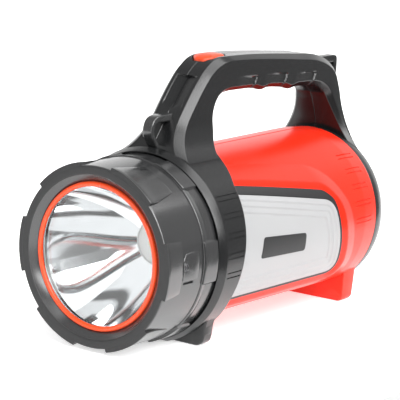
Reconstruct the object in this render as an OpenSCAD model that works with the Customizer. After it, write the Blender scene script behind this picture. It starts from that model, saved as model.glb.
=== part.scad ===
// Hand-held LED searchlight with a closed top handle, two feet and a lamp on each side.
// The lamp axis runs along Y, the front faces -Y, and the feet stand on z = 0.
// A station is a distance behind the front face, in millimetres.

/* [Head] */
// Radius of the mouth in front of the window
mouth_r = 42.6; // [38:0.1:46]
// Radial width of the conical mouth
cone_w = 4.8; // [3:0.1:6]
// Depth of the conical mouth
cone_depth = 4.3; // [3:0.1:6]
// Thickness of the lip behind the cone
lip_t = 1.5; // [1:0.1:3]
// Radial width of the seat behind the lip
seat_w = 3.5; // [2.5:0.1:4.5]
// Wall of the head round the seat
head_wall = 5.9; // [5:0.1:8]
// Length of the head
head_len = 33; // [29:0.5:40]
// Growth of the head radius towards the rear
head_flare = 1.2; // [0:0.1:2]
// Number of grip lugs round the rim
lug_count = 6; // [3:1:8]
// Height of a grip lug
lug_h = 2; // [1:0.1:2.3]
// Width of a grip lug in degrees
lug_arc = 35; // [20:1:40]
// Length of the full-height part of a lug
lug_len = 8; // [5:0.5:10]
// Width of the tail of a lug in degrees
tail_arc = 26; // [16:1:30]
// Station where the tail of a lug runs out
tail_end = 24; // [20:0.5:28]
// Station of the head screws
head_screw_at = 17.3; // [15:0.1:22]
// Radius of a screw head
screw_head_r = 2.2; // [1.8:0.1:3]
// Radius of a screw shank
screw_r = 1.3; // [1:0.1:1.6]

/* [Window and lamp] */
// Radial width of the accent ring
accent_w = 3; // [2:0.1:4]
// Thickness of the accent ring flange
accent_t = 1.4; // [1:0.1:2.5]
// Thickness of the window
lens_t = 2.5; // [1.5:0.1:4]
// Thickness of the window seal
seal_t = 1.5; // [1:0.1:2.5]
// Depth of the reflector bowl
bowl_depth = 39; // [32:0.5:40]
// Radius of the hole in the bottom of the bowl
bowl_hole_r = 12.5; // [9:0.1:15]
// Wall of the reflector
bowl_wall = 1.2; // [0.8:0.1:2]
// Thickness of the lamp board
led_board_t = 1.6; // [1:0.1:2.5]
// Radius of the lamp dome
led_dome_r = 4.6; // [3:0.1:7]
// Thickness of the heat sink plate
sink_t = 3; // [2:0.1:5]
// Height of the heat sink fins
fin_h = 8; // [4:0.5:10]
// Number of heat sink fins
fin_count = 9; // [5:1:13]

/* [Collar] */
// Length of the collar between head and shroud
collar_len = 15; // [13:0.5:20]
// Height of a collar block above the head
collar_block_h = 1.4; // [0.5:0.1:2]
// Depth of the channel between the collar blocks
collar_channel = 2; // [1:0.1:3]
// Width of a collar block in degrees
block_arc = 26; // [16:1:40]
// Wall of the collar spigot
spigot_wall = 3; // [2:0.1:4]
// Thickness of the collar shoulder behind the heat sink
shoulder_t = 4; // [3:0.1:6]

/* [Barrel] */
// Step from the head radius down to the barrel radius
body_step = 1; // [0.5:0.1:2]
// Growth of the barrel radius towards the rear
body_flare = 1.3; // [0.5:0.1:2]
// Wall of the barrel
body_wall = 2.4; // [1.8:0.1:3]
// Distance from the shroud front to the barrel end
body_len = 171; // [160:1:190]
// Depth of the flat underside below the axis
flat_drop = 37.4; // [35:0.1:40]
// Height of the ridge round the side lamp
ridge_h = 1.7; // [0.6:0.1:2.5]
// Distance from the side lamp to the ridge crest
ridge_in = 4; // [3:0.1:6]
// Width of the ridge from the side lamp to its foot
ridge_w = 13.5; // [10:0.5:15]
// Half width of the rear foot
rear_foot_hw = 38.3; // [34:0.1:40]
// Distance from the rear foot to the barrel end
rear_foot_back = 14; // [10:0.5:18]
// Length of the rear foot on the ground
rear_foot_len = 11; // [8:0.5:14]

/* [Side lamp] */
// Distance from the barrel front to the side lamp
panel_gap = 1.7; // [1:0.1:3]
// Lower edge of the side lamp, along the barrel surface from the axis height
panel_low = 32; // [28:0.1:33]
// Upper edge at the front, along the barrel surface from the axis height
panel_high = 43; // [38:0.1:46]
// Drop of the upper edge per length
panel_fall = 0.177; // [0.1:0.001:0.22]
// Distance from the barrel end to the lower rear corner
panel_back = 33; // [30:0.5:40]
// Lean of the rear edge
panel_lean = 0.26; // [0.1:0.01:0.35]
// Corner radius at the rear
panel_corner = 11; // [6:0.5:14]
// Width of the trim above the frosted cover
trim_top = 6.4; // [4:0.1:8]
// Width of the trim on the other sides
trim_w = 2; // [1.5:0.1:3]
// Depth of the trim
trim_depth = 4; // [3:0.1:5]
// Depth of the frosted cover
cover_depth = 3; // [2:0.1:3.6]
// Distance from the front of the side lamp to its board
lamp_board_at = 22; // [16:0.5:28]
// Length of the side lamp board
lamp_board_len = 48; // [40:0.5:56]
// Height of the side lamp board
lamp_board_h = 44; // [36:0.5:46]
// Width of a lamp chip
chip_w = 3; // [2:0.1:3.5]
// Height of a lamp chip
chip_t = 0.7; // [0.5:0.1:0.8]

/* [Shroud and handle] */
// Wall of the shroud round the barrel
shroud_wall = 5.7; // [4.5:0.1:7]
// Lap of the shroud over the barrel at its lower edge
shroud_lap = 4.5; // [3.5:0.1:7]
// Lean of the rear edge of the shroud towards the handle
shroud_lean = 11; // [8:0.5:14]
// Reach of the shroud lip over the collar
shroud_lip = 2.2; // [1:0.1:2.3]
// Length of the front bevel of the shroud
shroud_bevel = 4.8; // [3:0.1:6]
// Depth of the front bevel of the shroud
shroud_bevel_d = 1.6; // [1:0.1:1.8]
// Number of grip ribs on each side of the shroud
shroud_ribs = 5; // [3:1:6]
// Height of a grip rib
rib_h = 0.6; // [0.3:0.1:1]
// Width of a grip rib in degrees
rib_arc = 3; // [2:0.1:4]
// Pitch of the grip ribs in degrees
rib_pitch = 11.3; // [9:0.1:13]
// Half width of the front foot
front_foot_hw = 40.5; // [36:0.1:42]
// Length of the front foot
front_foot_len = 9; // [6:0.5:10]
// Distance from the shroud front to the front foot
front_foot_at = 6; // [5:0.5:7]
// Width of the handle
grip_w = 27; // [24:0.1:32]
// Height of the grip
grip_h = 20.5; // [19:0.1:24]
// Rise of the grip above the shroud
handle_rise = 48.9; // [46:0.1:60]
// Drop of the grip top towards the rear
grip_drop = 8; // [4:0.1:10]
// Width of the outer handle bevels
edge_x = 3.5; // [2.5:0.1:5]
// Depth of the outer handle bevels
edge_d = 3.2; // [2:0.1:4.5]
// Width and depth of the bevels round the finger opening
inner_bevel = 2.4; // [1.5:0.1:3.5]
// Radius of the blend between the handle and the shroud
flare_r = 27; // [20:0.5:32]
// Radius of the blend between the handle and the rear rim
rear_flare_r = 60; // [40:1:70]
// Depth of the finger ridges under the grip
finger_ridge = 1.4; // [0.5:0.1:2]
// Depth of the finger windows in the grip sides
window_depth = 1.6; // [0.8:0.1:2.5]
// Height of the finger windows
window_h = 4.4; // [3:0.1:5]
// Length of the rear rim
rear_len = 17.5; // [15:0.5:22]
// Radius of the rear opening
rear_bore_r = 41.7; // [38:0.1:42]
// Reach of the rear strap lug behind the barrel
lug_reach = 22; // [21:0.5:26]
// Width of the rear strap lug
lug_w = 6.5; // [5:0.5:10]
// Width of the front strap loop
loop_w = 7; // [5:0.5:9]
// Thickness of the front strap loop
loop_t = 3.6; // [3:0.1:4.5]
// Radius of a handle screw head
case_screw_head_r = 2.9; // [2.4:0.1:3.2]
// Depth of the seat of a handle screw head
case_screw_seat = 4; // [3:0.1:6]
// Radius of a handle screw shank
case_screw_r = 1.4; // [1:0.1:1.7]

/* [Button and switch] */
// Length of the button
button_len = 20; // [16:0.5:22]
// Width of the button
button_w = 14; // [10:0.5:15]
// Corner cut of the button
button_corner = 4; // [2:0.1:5]
// Height of the button above the grip
button_proud = 1.8; // [1.6:0.1:3]
// Travel of the button
button_travel = 1.2; // [0.8:0.1:1.5]
// Width and length of the switch
switch_w = 6; // [5:0.1:8]
// Height of the switch
switch_h = 3.5; // [3:0.1:5]
// Thickness of the circuit boards
board_t = 1.6; // [1:0.1:2]

/* [Battery and rear] */
// Radius of a battery cell
cell_r = 9.2; // [8.5:0.1:9.5]
// Length of a battery cell
cell_len = 65; // [50:1:70]
// Number of battery cells
cell_count = 3; // [2:1:3]
// Wall of the battery tray
tray_wall = 2; // [1.5:0.1:3]
// Step from the tray side to the driver board
driver_margin = 6; // [3:0.5:9]
// Height of the tallest part on the driver board
driver_part_h = 8; // [5:0.5:10]
// Thickness of the rear cap
cap_t = 6.5; // [5:0.1:7]
// Width of the charging port flap
flap_w = 20; // [16:0.5:24]
// Height of the charging port flap
flap_h = 13; // [10:0.5:16]
// Thickness of the charging port flap
flap_t = 2.2; // [1.6:0.1:2.6]
// Width of the charging socket
socket_w = 9; // [8:0.1:12]
// Height of the charging socket
socket_h = 3.4; // [3:0.1:5]

/* [Clearances] */
// Gap between fitted pieces
fit = 0.3; // [0.2:0.05:0.4]
// Gap between pieces that are clamped together
snug = 0.1; // [0.05:0.05:0.2]
// Gap between the underside of the head and the ground
ground_gap = 2.4; // [2:0.1:6]
// Running gap of the flap hinge
hinge_gap = 0.08; // [0.05:0.01:0.1]

/* [Hidden] */
$fn = 96;
tiny = 0.01;
// Reach of a half past the centre plane, before it is cut there
over = 2;

// Radii, from the window outwards
seat_r = mouth_r + seat_w;
head_r = seat_r + head_wall;
spigot_r = seat_r - snug;
sink_bore_r = spigot_r - spigot_wall;
collar_r = head_r + head_flare;
block_r = collar_r + collar_block_h;
channel_r = collar_r - collar_channel + 1;
body_r = head_r - body_step;
shroud_bore_r = body_r + fit;
shroud_r = shroud_bore_r + shroud_wall;
neck_r = shroud_bore_r - snug;
rear_r = body_r + 0.4;
rear_lip_r = rear_bore_r - 2;
rear_edge_r = rear_r - 6.2;
cap_flange_r = rear_bore_r + 1.8;
axis_z = head_r + ground_gap;

// Stations, from the front face backwards
lip_back = cone_depth + lip_t;
lens_at = lip_back + accent_t;
seal_at = lens_at + lens_t;
flange_at = seal_at + seal_t;
spigot_at = flange_at + bowl_wall;
bowl_end = flange_at + bowl_depth;
led_board_at = bowl_end + bowl_wall;
sink_at = led_board_at + led_board_t;
sink_back = sink_at + sink_t;
shroud_at = head_len + collar_len;
neck_end = sink_back + shoulder_t;
barrel_at = neck_end + fit;
barrel_end = shroud_at + body_len;
shroud_low_len = neck_end - shroud_at + shroud_lap;
shroud_high_len = shroud_low_len + shroud_lean;
rim_end = barrel_end + rear_len;
overall_len = barrel_end + lug_reach;

// Heights
shroud_top = axis_z + shroud_r;
grip_top = shroud_top + handle_rise;
grip_under = grip_top - grip_h;
flat_z = axis_z - flat_drop;
grip_hw = grip_w / 2;

// Moves a station to its place along Y
function along(station) = station - overall_len / 2;

// Points of an arc, from angle a to angle b
function arc(centre, r, a, b, n) = [
    for (i = [0 : n]) centre + r * [cos(a + (b - a) * i / n), sin(a + (b - a) * i / n)]
];

// Smooth step from 0 to 1 over the range 0 to 1
function ease(t) = let (u = min(max(t, 0), 1)) u * u * (3 - 2 * u);

// Smooth curve through control points, n steps for each pair
function spline(p, n) = [
    for (i = [0 : len(p) - 2], k = [0 : n - 1]) bend(p, i, k / n),
    p[len(p) - 1]
];
function bend(p, i, t) =
    let (
        a = p[max(i - 1, 0)],
        b = p[i],
        c = p[i + 1],
        d = p[min(i + 2, len(p) - 1)]
    )
    b + 0.5 * t * ((c - a) + t * ((2 * a - 5 * b + 4 * c - d) + t * (3 * (b - c) + d - a)));

// Corner of two sides of a polygon, rounded with radius r
function rounded(before, corner, after, r, n = 8) =
    let (
        u = (before - corner) / norm(before - corner),
        v = (after - corner) / norm(after - corner),
        half = acos(u * v) / 2,
        centre = corner + (u + v) / norm(u + v) * r / sin(half),
        from = corner + u * r / tan(half) - centre,
        to = corner + v * r / tan(half) - centre,
        a = atan2(from[1], from[0]),
        turn = atan2(from[0] * to[1] - from[1] * to[0], from * to)
    )
    arc(centre, r, a, a + turn, n);

// Revolves an outline of [radius, station] points about the lamp axis
module revolve(outline) {
    on_axis()
        rotate_extrude()
            polygon(outline);
}

// Revolves an outline over an arc that is centred on an angle above +X
module revolve_arc(outline, centre, sweep) {
    on_axis()
        rotate([0, 0, -centre - sweep / 2])
            rotate_extrude(angle = sweep)
                polygon(outline);
}

// Turns local Z to the lamp axis, with the origin at the front face
module on_axis() {
    translate([0, along(0), axis_z])
        rotate([-90, 0, 0])
            children();
}

// Extrudes a side view, in stations and heights, from x0 to x1
module side_prism(x0, x1) {
    translate([x0, along(0), 0])
        rotate([90, 0, 90])
            linear_extrude(x1 - x0)
                children();
}

// Extrudes a front view, in x and heights, from one station to another
module front_prism(from, to) {
    translate([0, along(to), 0])
        rotate([90, 0, 0])
            linear_extrude(to - from)
                children();
}

// Box from one corner to the other, in x, stations and heights
module block(low, high) {
    translate([low[0], along(low[1]), low[2]])
        cube(high - low);
}

// Skin between a row of closed sections, with flat ends
module loft(sections) {
    n = len(sections);
    k = len(sections[0]);
    sides = [
        for (i = [0 : n - 2], j = [0 : k - 1])
            let (a = i * k + j, b = i * k + (j + 1) % k)
                each [[a, b + k, b], [a, a + k, b + k]]
    ];
    first = [for (j = [0 : k - 1]) j];
    last = [for (j = [k - 1 : -1 : 0]) (n - 1) * k + j];
    polyhedron([for (s = sections) each s], concat([first, last], sides));
}

// Keeps what lies to the right of the centre plane
module right_side() {
    intersection() {
        children();
        block([0, -20, -5], [shroud_r * 2, overall_len + 20, grip_top + 20]);
    }
}

// Copies a right-hand piece to the left
module left_hand() {
    mirror([1, 0, 0])
        children();
}

// Head: a moulded bell with grip lugs whose tails run out along it
module head_shell() {
    color("#2b2c2e")
        difference() {
            union() {
                revolve([
                    [mouth_r + cone_w, 0],
                    [head_r - 0.8, 0],
                    [head_r, 0.8],
                    [collar_r, head_len],
                    [seat_r, head_len],
                    [seat_r, lip_back],
                    [mouth_r, lip_back],
                    [mouth_r, cone_depth]
                ]);
                for (i = [0 : lug_count - 1])
                    head_lug(i * 360 / lug_count);
            }
            head_screw_holes();
        }
}

module head_lug(angle) {
    top_r = head_r + lug_h;
    root_r = head_r - 1;
    revolve_arc([
        [root_r, 0.2],
        [top_r - 0.6, 0.2],
        [top_r, 0.8],
        [top_r, lug_len - 1],
        [top_r - 1, lug_len],
        [root_r, lug_len]
    ], angle, lug_arc);
    revolve_arc([
        [root_r, lug_len - 1],
        [top_r - 0.6, lug_len - 1],
        [collar_r, tail_end],
        [root_r, tail_end]
    ], angle, tail_arc);
}

module head_screw_holes() {
    for (side = [-1, 1])
        translate([0, along(head_screw_at), axis_z])
            rotate([0, side * 90, 0]) {
                cylinder(r = screw_r + snug, h = head_r + 5);
                translate([0, 0, head_r - 1.4])
                    cylinder(r = screw_head_r + fit, h = 10);
            }
}

// Self-tapping screws that hold the head on the collar spigot
module head_screws() {
    color("#8c8f92")
        for (side = [-1, 1])
            translate([0, along(head_screw_at), axis_z])
                rotate([0, side * 90, 0])
                    difference() {
                        union() {
                            translate([0, 0, sink_bore_r + 0.4])
                                cylinder(r = screw_r, h = head_r - 1.3 - sink_bore_r - 0.4);
                            translate([0, 0, head_r - 1.4])
                                cylinder(r = screw_head_r, h = 1.6);
                        }
                        for (turn = [0, 90])
                            rotate([0, 0, turn])
                                translate([-screw_head_r * 0.6, -0.3, head_r - 0.5])
                                    cube([screw_head_r * 1.2, 0.6, 2]);
                    }
}

// Accent ring: a rounded lip in the mouth and a flange behind the lip of the head
module accent_ring() {
    inner_r = mouth_r - accent_w;
    lip_r = mouth_r - snug;
    round_r = (lip_r - inner_r) / 2;
    color("#e8401f")
        revolve(concat(
            arc([inner_r + round_r, cone_depth], round_r, 180, 360, 12),
            [
                [lip_r, lip_back],
                [spigot_r, lip_back],
                [spigot_r, lens_at],
                [inner_r, lens_at]
            ]
        ));
}

// Flat window
module front_lens() {
    color("#dfe9ec", 0.4)
        revolve([[0, lens_at], [spigot_r, lens_at], [spigot_r, seal_at], [0, seal_at]]);
}

// Rubber seal between window and reflector
module lens_seal() {
    inner_r = mouth_r - 0.6;
    color("#1c1c1c")
        revolve([
            [inner_r, seal_at],
            [spigot_r, seal_at],
            [spigot_r, flange_at],
            [inner_r, flange_at]
        ]);
}

// Reflector: a parabolic bowl with a flange round its mouth
bowl_mouth_r = mouth_r - 1.6;
bowl_steps = 24;
bowl_rate = (bowl_mouth_r * bowl_mouth_r - bowl_hole_r * bowl_hole_r) / bowl_depth;
function bowl_r(depth) = sqrt(bowl_mouth_r * bowl_mouth_r - bowl_rate * depth);

module reflector() {
    color("#d9dcdf")
        revolve(concat(
            [for (i = [0 : bowl_steps])
                let (s = bowl_depth * i / bowl_steps) [bowl_r(s), flange_at + s]],
            [[bowl_hole_r, led_board_at], [bowl_hole_r + bowl_wall, led_board_at]],
            [for (i = [bowl_steps : -1 : 1])
                let (s = bowl_depth * i / bowl_steps) [bowl_r(s) + bowl_wall, flange_at + s]],
            [
                [bowl_mouth_r + bowl_wall, spigot_at],
                [spigot_r, spigot_at],
                [spigot_r, flange_at]
            ]
        ));
}

// Lamp: a square carrier under a clear dome
module led_emitter() {
    carrier = led_dome_r * 2.2;
    carrier_t = 0.9;
    color("#f2e9b0")
        translate([0, along(led_board_at - carrier_t), axis_z]) {
            translate([-carrier / 2, 0, -carrier / 2])
                cube([carrier, carrier_t, carrier]);
            intersection() {
                sphere(r = led_dome_r);
                rotate([90, 0, 0])
                    cylinder(r = led_dome_r + 1, h = led_dome_r + 1);
            }
        }
}

// Round white board that carries the lamp
module led_board() {
    color("#f4f4f2")
        revolve([
            [0, led_board_at],
            [bowl_hole_r + 4, led_board_at],
            [bowl_hole_r + 4, sink_at],
            [0, sink_at]
        ]);
}

// Heat sink: a disc that seats on the collar shoulder, with fins behind it
module heat_sink() {
    fin_r = flat_drop - body_wall - 2 * fit;
    fin_t = 2;
    pitch = 2 * fin_r / fin_count;
    color("#b9bcc0") {
        revolve([
            [0, sink_at],
            [sink_bore_r - snug, sink_at],
            [sink_bore_r - snug, sink_back],
            [0, sink_back]
        ]);
        intersection() {
            revolve([
                [0, sink_at + 1],
                [fin_r, sink_at + 1],
                [fin_r, sink_back + fin_h],
                [0, sink_back + fin_h]
            ]);
            for (i = [0 : fin_count - 1])
                block(
                    [-fin_r + (i + 0.5) * pitch - fin_t / 2, sink_at + 1, axis_z - fin_r],
                    [-fin_r + (i + 0.5) * pitch + fin_t / 2, sink_back + fin_h, axis_z + fin_r]
                );
        }
    }
}

// Collar: a spigot for the head, a blocked outer ring and a neck inside the shroud
module collar_ring() {
    rim_end_at = head_len + 0.8;
    bevel_end = head_len + 3.6;
    block_end = shroud_at - 2.4;
    shoulder_r = sink_bore_r - 3;
    color("#303133")
        difference() {
            union() {
                revolve([
                    [sink_bore_r, spigot_at],
                    [spigot_r, spigot_at],
                    [spigot_r, head_len + snug],
                    [collar_r, head_len + snug],
                    [collar_r + 0.6, rim_end_at],
                    [channel_r, bevel_end],
                    [channel_r, shroud_at - snug],
                    [neck_r, shroud_at - snug],
                    [neck_r, neck_end],
                    [shoulder_r, neck_end],
                    [shoulder_r, sink_back],
                    [sink_bore_r, sink_back]
                ]);
                for (i = [0 : lug_count - 1])
                    revolve_arc([
                        [channel_r - 1, rim_end_at - 0.4],
                        [block_r - 0.4, rim_end_at - 0.4],
                        [block_r, rim_end_at],
                        [block_r, block_end - 0.6],
                        [block_r - 0.6, block_end],
                        [channel_r - 1, block_end]
                    ], i * 360 / lug_count, block_arc);
            }
            for (side = [-1, 1])
                translate([0, along(head_screw_at), axis_z])
                    rotate([0, side * 90, 0])
                        cylinder(r = screw_r + snug / 2, h = head_r);
        }
}

// Barrel outline as [station, radius], growing to the rear and drawn in at its end
body_outline = [
    [barrel_at, body_r],
    [barrel_at + 26, body_r + 0.15 * body_flare],
    [barrel_end - 29, body_r + body_flare],
    [barrel_end - 14, body_r + body_flare + 0.1],
    [barrel_end - 5, body_r + 0.6 * body_flare],
    [barrel_end, rear_r]
];
function body_radius(station) = lookup(station, body_outline);

// Side lamp outline, unrolled on the barrel as [station, arc length above the axis height]
panel_front = barrel_at + panel_gap;
panel_rear = barrel_end - panel_back;
function panel_top(station) = panel_high - panel_fall * (station - panel_front);
function panel_edge(arc_len) = panel_rear - panel_lean * (arc_len + panel_low);
function panel_outline(low, top, back) =
    let (
        bottom = -panel_low + low,
        rear_low = [panel_edge(bottom) - back, bottom],
        high = panel_high - top,
        rear_x = (panel_rear - back - panel_lean * (panel_low + high + panel_fall * panel_front))
            / (1 - panel_lean * panel_fall),
        rear_top = [rear_x, high - panel_fall * (rear_x - panel_front)],
        front_low = [panel_front + back, bottom],
        front_top = [panel_front + back, high]
    )
    concat(
        [front_top, front_low],
        rounded(front_low, rear_low, rear_top, panel_corner - back),
        rounded(rear_low, rear_top, front_top, panel_corner - back)
    );
// Wraps an unrolled outline on the barrel and looks at it from the side
function wrapped(outline) = [
    for (p = outline) [p[0], axis_z + body_r * sin(p[1] / body_r * 180 / PI)]
];

// Distance outside the side lamp, measured on the barrel surface
function panel_distance(station, arc_len) =
    let (
        r = panel_corner,
        low = max(-panel_low + r - arc_len, 0),
        over_top = arc_len - panel_top(station) + r * (1 + panel_fall),
        top = max(over_top / sqrt(1 + panel_fall * panel_fall), 0),
        back = max((station - panel_edge(arc_len) + r) / sqrt(1 + panel_lean * panel_lean), 0)
    )
    norm([back, max(low, top)]) - r;
// Ridge: it rises from the side lamp to a crest and falls off to a crease
function ridge(distance) =
    distance < 0 ? 0
    : distance < ridge_in ? ridge_h * ease(distance / ridge_in)
    : max(ridge_h * (1 - (distance - ridge_in) / (ridge_w - ridge_in)), 0);

// Half of a barrel section at a station, from the top round to the flat underside
section_steps = 32;
function body_section(station) =
    let (
        base = body_radius(station),
        corner = asin(flat_drop / (base + ridge_h)),
        round = [for (i = [0 : section_steps])
            let (
                angle = 90 - (90 + corner) * i / section_steps,
                edge = lookup(axis_z + base * sin(angle), shroud_edge),
                away = panel_distance(station, base * angle * PI / 180),
                r = base + ridge(away) * ease((station - edge - 1.5) / 5)
            )
            [r * cos(angle), max(r * sin(angle), -flat_drop)]]
    )
    [for (p = concat([[-over, round[0][1]]], round, [[-over, -flat_drop]]))
        [p[0], along(station), axis_z + p[1]]];
body_steps = 36;
function body_stations(from, to) = [for (i = [0 : body_steps]) from + (to - from) * i / body_steps];

// Barrel half with its lamp opening, ridge, grip ribs and half of the rear foot
module body_half() {
    right_side()
        difference() {
            union() {
                loft([for (s = body_stations(barrel_at, barrel_end)) body_section(s)]);
                rear_foot_half();
                barrel_ribs();
            }
            body_hollow();
            side_prism(body_r / 4, body_r * 2)
                polygon(wrapped(panel_outline(0, 0, 0)));
        }
}

module body_hollow() {
    intersection() {
        revolve(concat(
            [[0, barrel_at - 1], [body_r - body_wall, barrel_at - 1]],
            [for (p = body_outline) [p[1] - body_wall, p[0]]],
            [[rear_r - body_wall, barrel_end + 1], [0, barrel_end + 1]]
        ));
        block(
            [-over * 2, barrel_at - 2, flat_z + body_wall],
            [body_r * 2, barrel_end + 2, axis_z + body_r * 2]
        );
    }
}

module rear_foot_half() {
    from = barrel_end - rear_foot_back;
    corner = 4;
    intersection() {
        front_prism(from, barrel_end - 0.4)
            polygon(concat(
                [[-over, axis_z - 30], [-over, 0]],
                arc([rear_foot_hw - corner, corner], corner, -90, 0, 6),
                [[rear_foot_hw, axis_z - 30]]
            ));
        side_prism(-over, body_r * 2)
            polygon([
                [from, 0],
                [from + rear_foot_len, 0],
                [barrel_end, flat_z + 2],
                [barrel_end, axis_z],
                [from, axis_z]
            ]);
    }
}

module barrel_ribs() {
    from = barrel_end - 23;
    for (i = [0 : shroud_ribs - 2])
        revolve_arc([
            [body_r - 1, from],
            [body_radius(from) + rib_h, from + rib_h],
            [body_radius(barrel_end - 14) + rib_h, barrel_end - 14],
            [body_radius(barrel_end - 6), barrel_end - 6],
            [body_r - 1, barrel_end - 6]
        ], 1 + i * rib_pitch, rib_arc);
}

module body_shell_right() {
    color("#e03127")
        body_half();
}

module body_shell_left() {
    color("#e03127")
        left_hand()
            body_half();
}

// Dark frame that fills the lamp opening round the frosted cover
module side_trim() {
    intersection() {
        side_prism(0, body_r * 2)
            difference() {
                polygon(wrapped(panel_outline(snug, snug, snug)));
                polygon(wrapped(panel_outline(trim_w, trim_top, trim_w)));
            }
        lamp_skin(trim_depth);
    }
}

// Frosted cover of the side lamp
module side_lens() {
    intersection() {
        side_prism(0, body_r * 2)
            polygon(wrapped(panel_outline(trim_w + snug, trim_top + snug, trim_w + snug)));
        lamp_skin(cover_depth);
    }
}

// Tube that the side lamp pieces are cut from
module lamp_skin(depth) {
    revolve([
        [body_r - depth, panel_front - 1],
        [body_r, panel_front - 1],
        [body_r, barrel_end],
        [body_r - depth, barrel_end]
    ]);
}

module side_trim_right() {
    color("#3a3b3d")
        side_trim();
}

module side_trim_left() {
    color("#3a3b3d")
        left_hand()
            side_trim();
}

module side_lens_right() {
    color("#eceded")
        side_lens();
}

module side_lens_left() {
    color("#eceded")
        left_hand()
            side_lens();
}

// Board with rows of lamp chips behind the frosted cover
module side_leds() {
    half_h = lamp_board_h / 2;
    from = panel_front + lamp_board_at;
    back_x = sqrt(pow(body_r - cover_depth, 2) - half_h * half_h) - fit;
    block([back_x - board_t, from, axis_z - half_h], [back_x, from + lamp_board_len, axis_z + half_h]);
    for (row = [-1, 0, 1], col = [-2 : 2])
        let (
            at = from + lamp_board_len / 2 + col * lamp_board_len / 6,
            z = axis_z + row * lamp_board_h / 3.6
        )
        block(
            [back_x - tiny, at - chip_w / 2, z - chip_w / 2],
            [back_x + chip_t, at + chip_w / 2, z + chip_w / 2]
        );
}

module side_leds_right() {
    color("#f0f0e4")
        side_leds();
}

module side_leds_left() {
    color("#f0f0e4")
        left_hand()
            side_leds();
}

// Side view of the handle: its outer edge, from the shroud over the grip to the rear rim
outer_edge = [
    [shroud_at - 2, shroud_top - 8.9],
    [shroud_at + 9, shroud_top + 6.1],
    [shroud_at + 24, grip_top - 22.9],
    [shroud_at + 33.5, grip_top - 12],
    [shroud_at + 41, grip_top - 5.4],
    [shroud_at + 50, grip_top - 0.9],
    [shroud_at + 62, grip_top],
    [shroud_at + 92, grip_top - 0.11 * grip_drop],
    [barrel_end - 39, grip_top - 0.46 * grip_drop],
    [barrel_end - 13, grip_top - 0.81 * grip_drop],
    [barrel_end + 5, grip_top - grip_drop - 6.5],
    [barrel_end + 12, grip_top - grip_drop - 18.3],
    [barrel_end + 13, shroud_top + 9],
    [barrel_end + 12, shroud_top - 8.4],
    [barrel_end + 10, shroud_top - 19.9]
];
// Its inner edge, round the finger opening
inner_edge = [
    [shroud_at + 35, shroud_top - 8.9],
    [shroud_at + 44.3, shroud_top + 5.6],
    [shroud_at + 46.6, grip_under - 10.5],
    [shroud_at + 49.5, grip_under - 4.6],
    [shroud_at + 54, grip_under - 1.3],
    [shroud_at + 60, grip_under - 0.1],
    [shroud_at + 68, grip_under],
    [shroud_at + 93, grip_under - 0.1 * grip_drop],
    [barrel_end - 41, grip_under - 0.42 * grip_drop],
    [barrel_end - 16, grip_under - 0.65 * grip_drop],
    [barrel_end - 4.7, grip_under - grip_drop - 2.2],
    [barrel_end - 0.5, grip_under - grip_drop - 9],
    [barrel_end + 3, shroud_top + 2],
    [barrel_end + 5, shroud_top - 10.4],
    [barrel_end + 5, shroud_top - 19.9]
];
handle_steps = 6;
// Depth that the foot of a blend runs into the round housing
sink_in = 0.8;

// Half width of the handle, which blends into a round housing below it
function flare(z, round_r, blend_r) =
    let (
        start = sqrt(pow(round_r + blend_r, 2) - pow(grip_hw + blend_r, 2)),
        touch = start * round_r / (round_r + blend_r),
        h = z - axis_z
    )
    h >= start ? grip_hw
        : h >= touch ? grip_hw + blend_r - sqrt(blend_r * blend_r - pow(start - h, 2))
        : sqrt(round_r * round_r - h * h);

// Finger ridges between the finger windows
finger_pitch = (barrel_end - 17 - shroud_at - 69.5) / 2.72;
finger_from = shroud_at + 69.5;
function finger_at(i) = finger_from + (i + 0.82) * finger_pitch;
function finger_drop(station) =
    finger_ridge * max([for (i = [0, 1]) 1 - ease(abs(station - finger_at(i)) / 9)]);

// Sine of the angle between a curve at its point i and a direction
function slant(p, i, dir) =
    let (run = p[min(i + 1, len(p) - 1)] - p[max(i - 1, 0)])
    abs(cross(run / norm(run), dir));

// Half section of the handle between an outer and an inner point, with bevelled edges
function handle_section(outer, inner, i) =
    let (
        front = i < len(outer) / 2,
        round_r = (front ? shroud_r : rear_r) - sink_in,
        blend_r = front ? flare_r : rear_flare_r,
        dir = (inner[i] - outer[i]) / norm(inner[i] - outer[i]),
        bevel_out = outer[i] + edge_d / slant(outer, i, dir) * dir,
        bevel_in = inner[i] - inner_bevel / slant(inner, i, dir) * dir
    )
    [for (p = [
        [-over, outer[i]],
        [flare(outer[i][1], round_r, blend_r) - edge_x, outer[i]],
        [flare(bevel_out[1], round_r, blend_r), bevel_out],
        [flare(bevel_in[1], round_r, blend_r), bevel_in],
        [flare(inner[i][1], round_r, blend_r) - inner_bevel, inner[i]],
        [-over, inner[i]]
    ]) [p[0], along(p[1][0]), p[1][1]]];

function handle_sections() =
    let (
        outer = spline(outer_edge, handle_steps),
        inner = [for (p = spline(inner_edge, handle_steps)) p - [0, finger_drop(p[0])]]
    )
    [for (i = [0 : len(outer) - 1]) handle_section(outer, inner, i)];

// Rear edge of the shroud as [height, station]: it leans back towards the handle
shroud_edge = [
    [1, shroud_at + shroud_low_len],
    [axis_z - 0.44 * shroud_r, shroud_at + shroud_low_len],
    [axis_z - 0.06 * shroud_r, shroud_at + 0.7 * shroud_low_len + 0.3 * shroud_high_len],
    [axis_z + 0.28 * shroud_r, shroud_at + 0.35 * shroud_low_len + 0.65 * shroud_high_len],
    [axis_z + 0.66 * shroud_r, shroud_at + shroud_high_len],
    [axis_z + 0.87 * shroud_r, shroud_at + shroud_high_len + 7],
    [shroud_top, shroud_at + shroud_high_len + 14]
];
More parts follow.
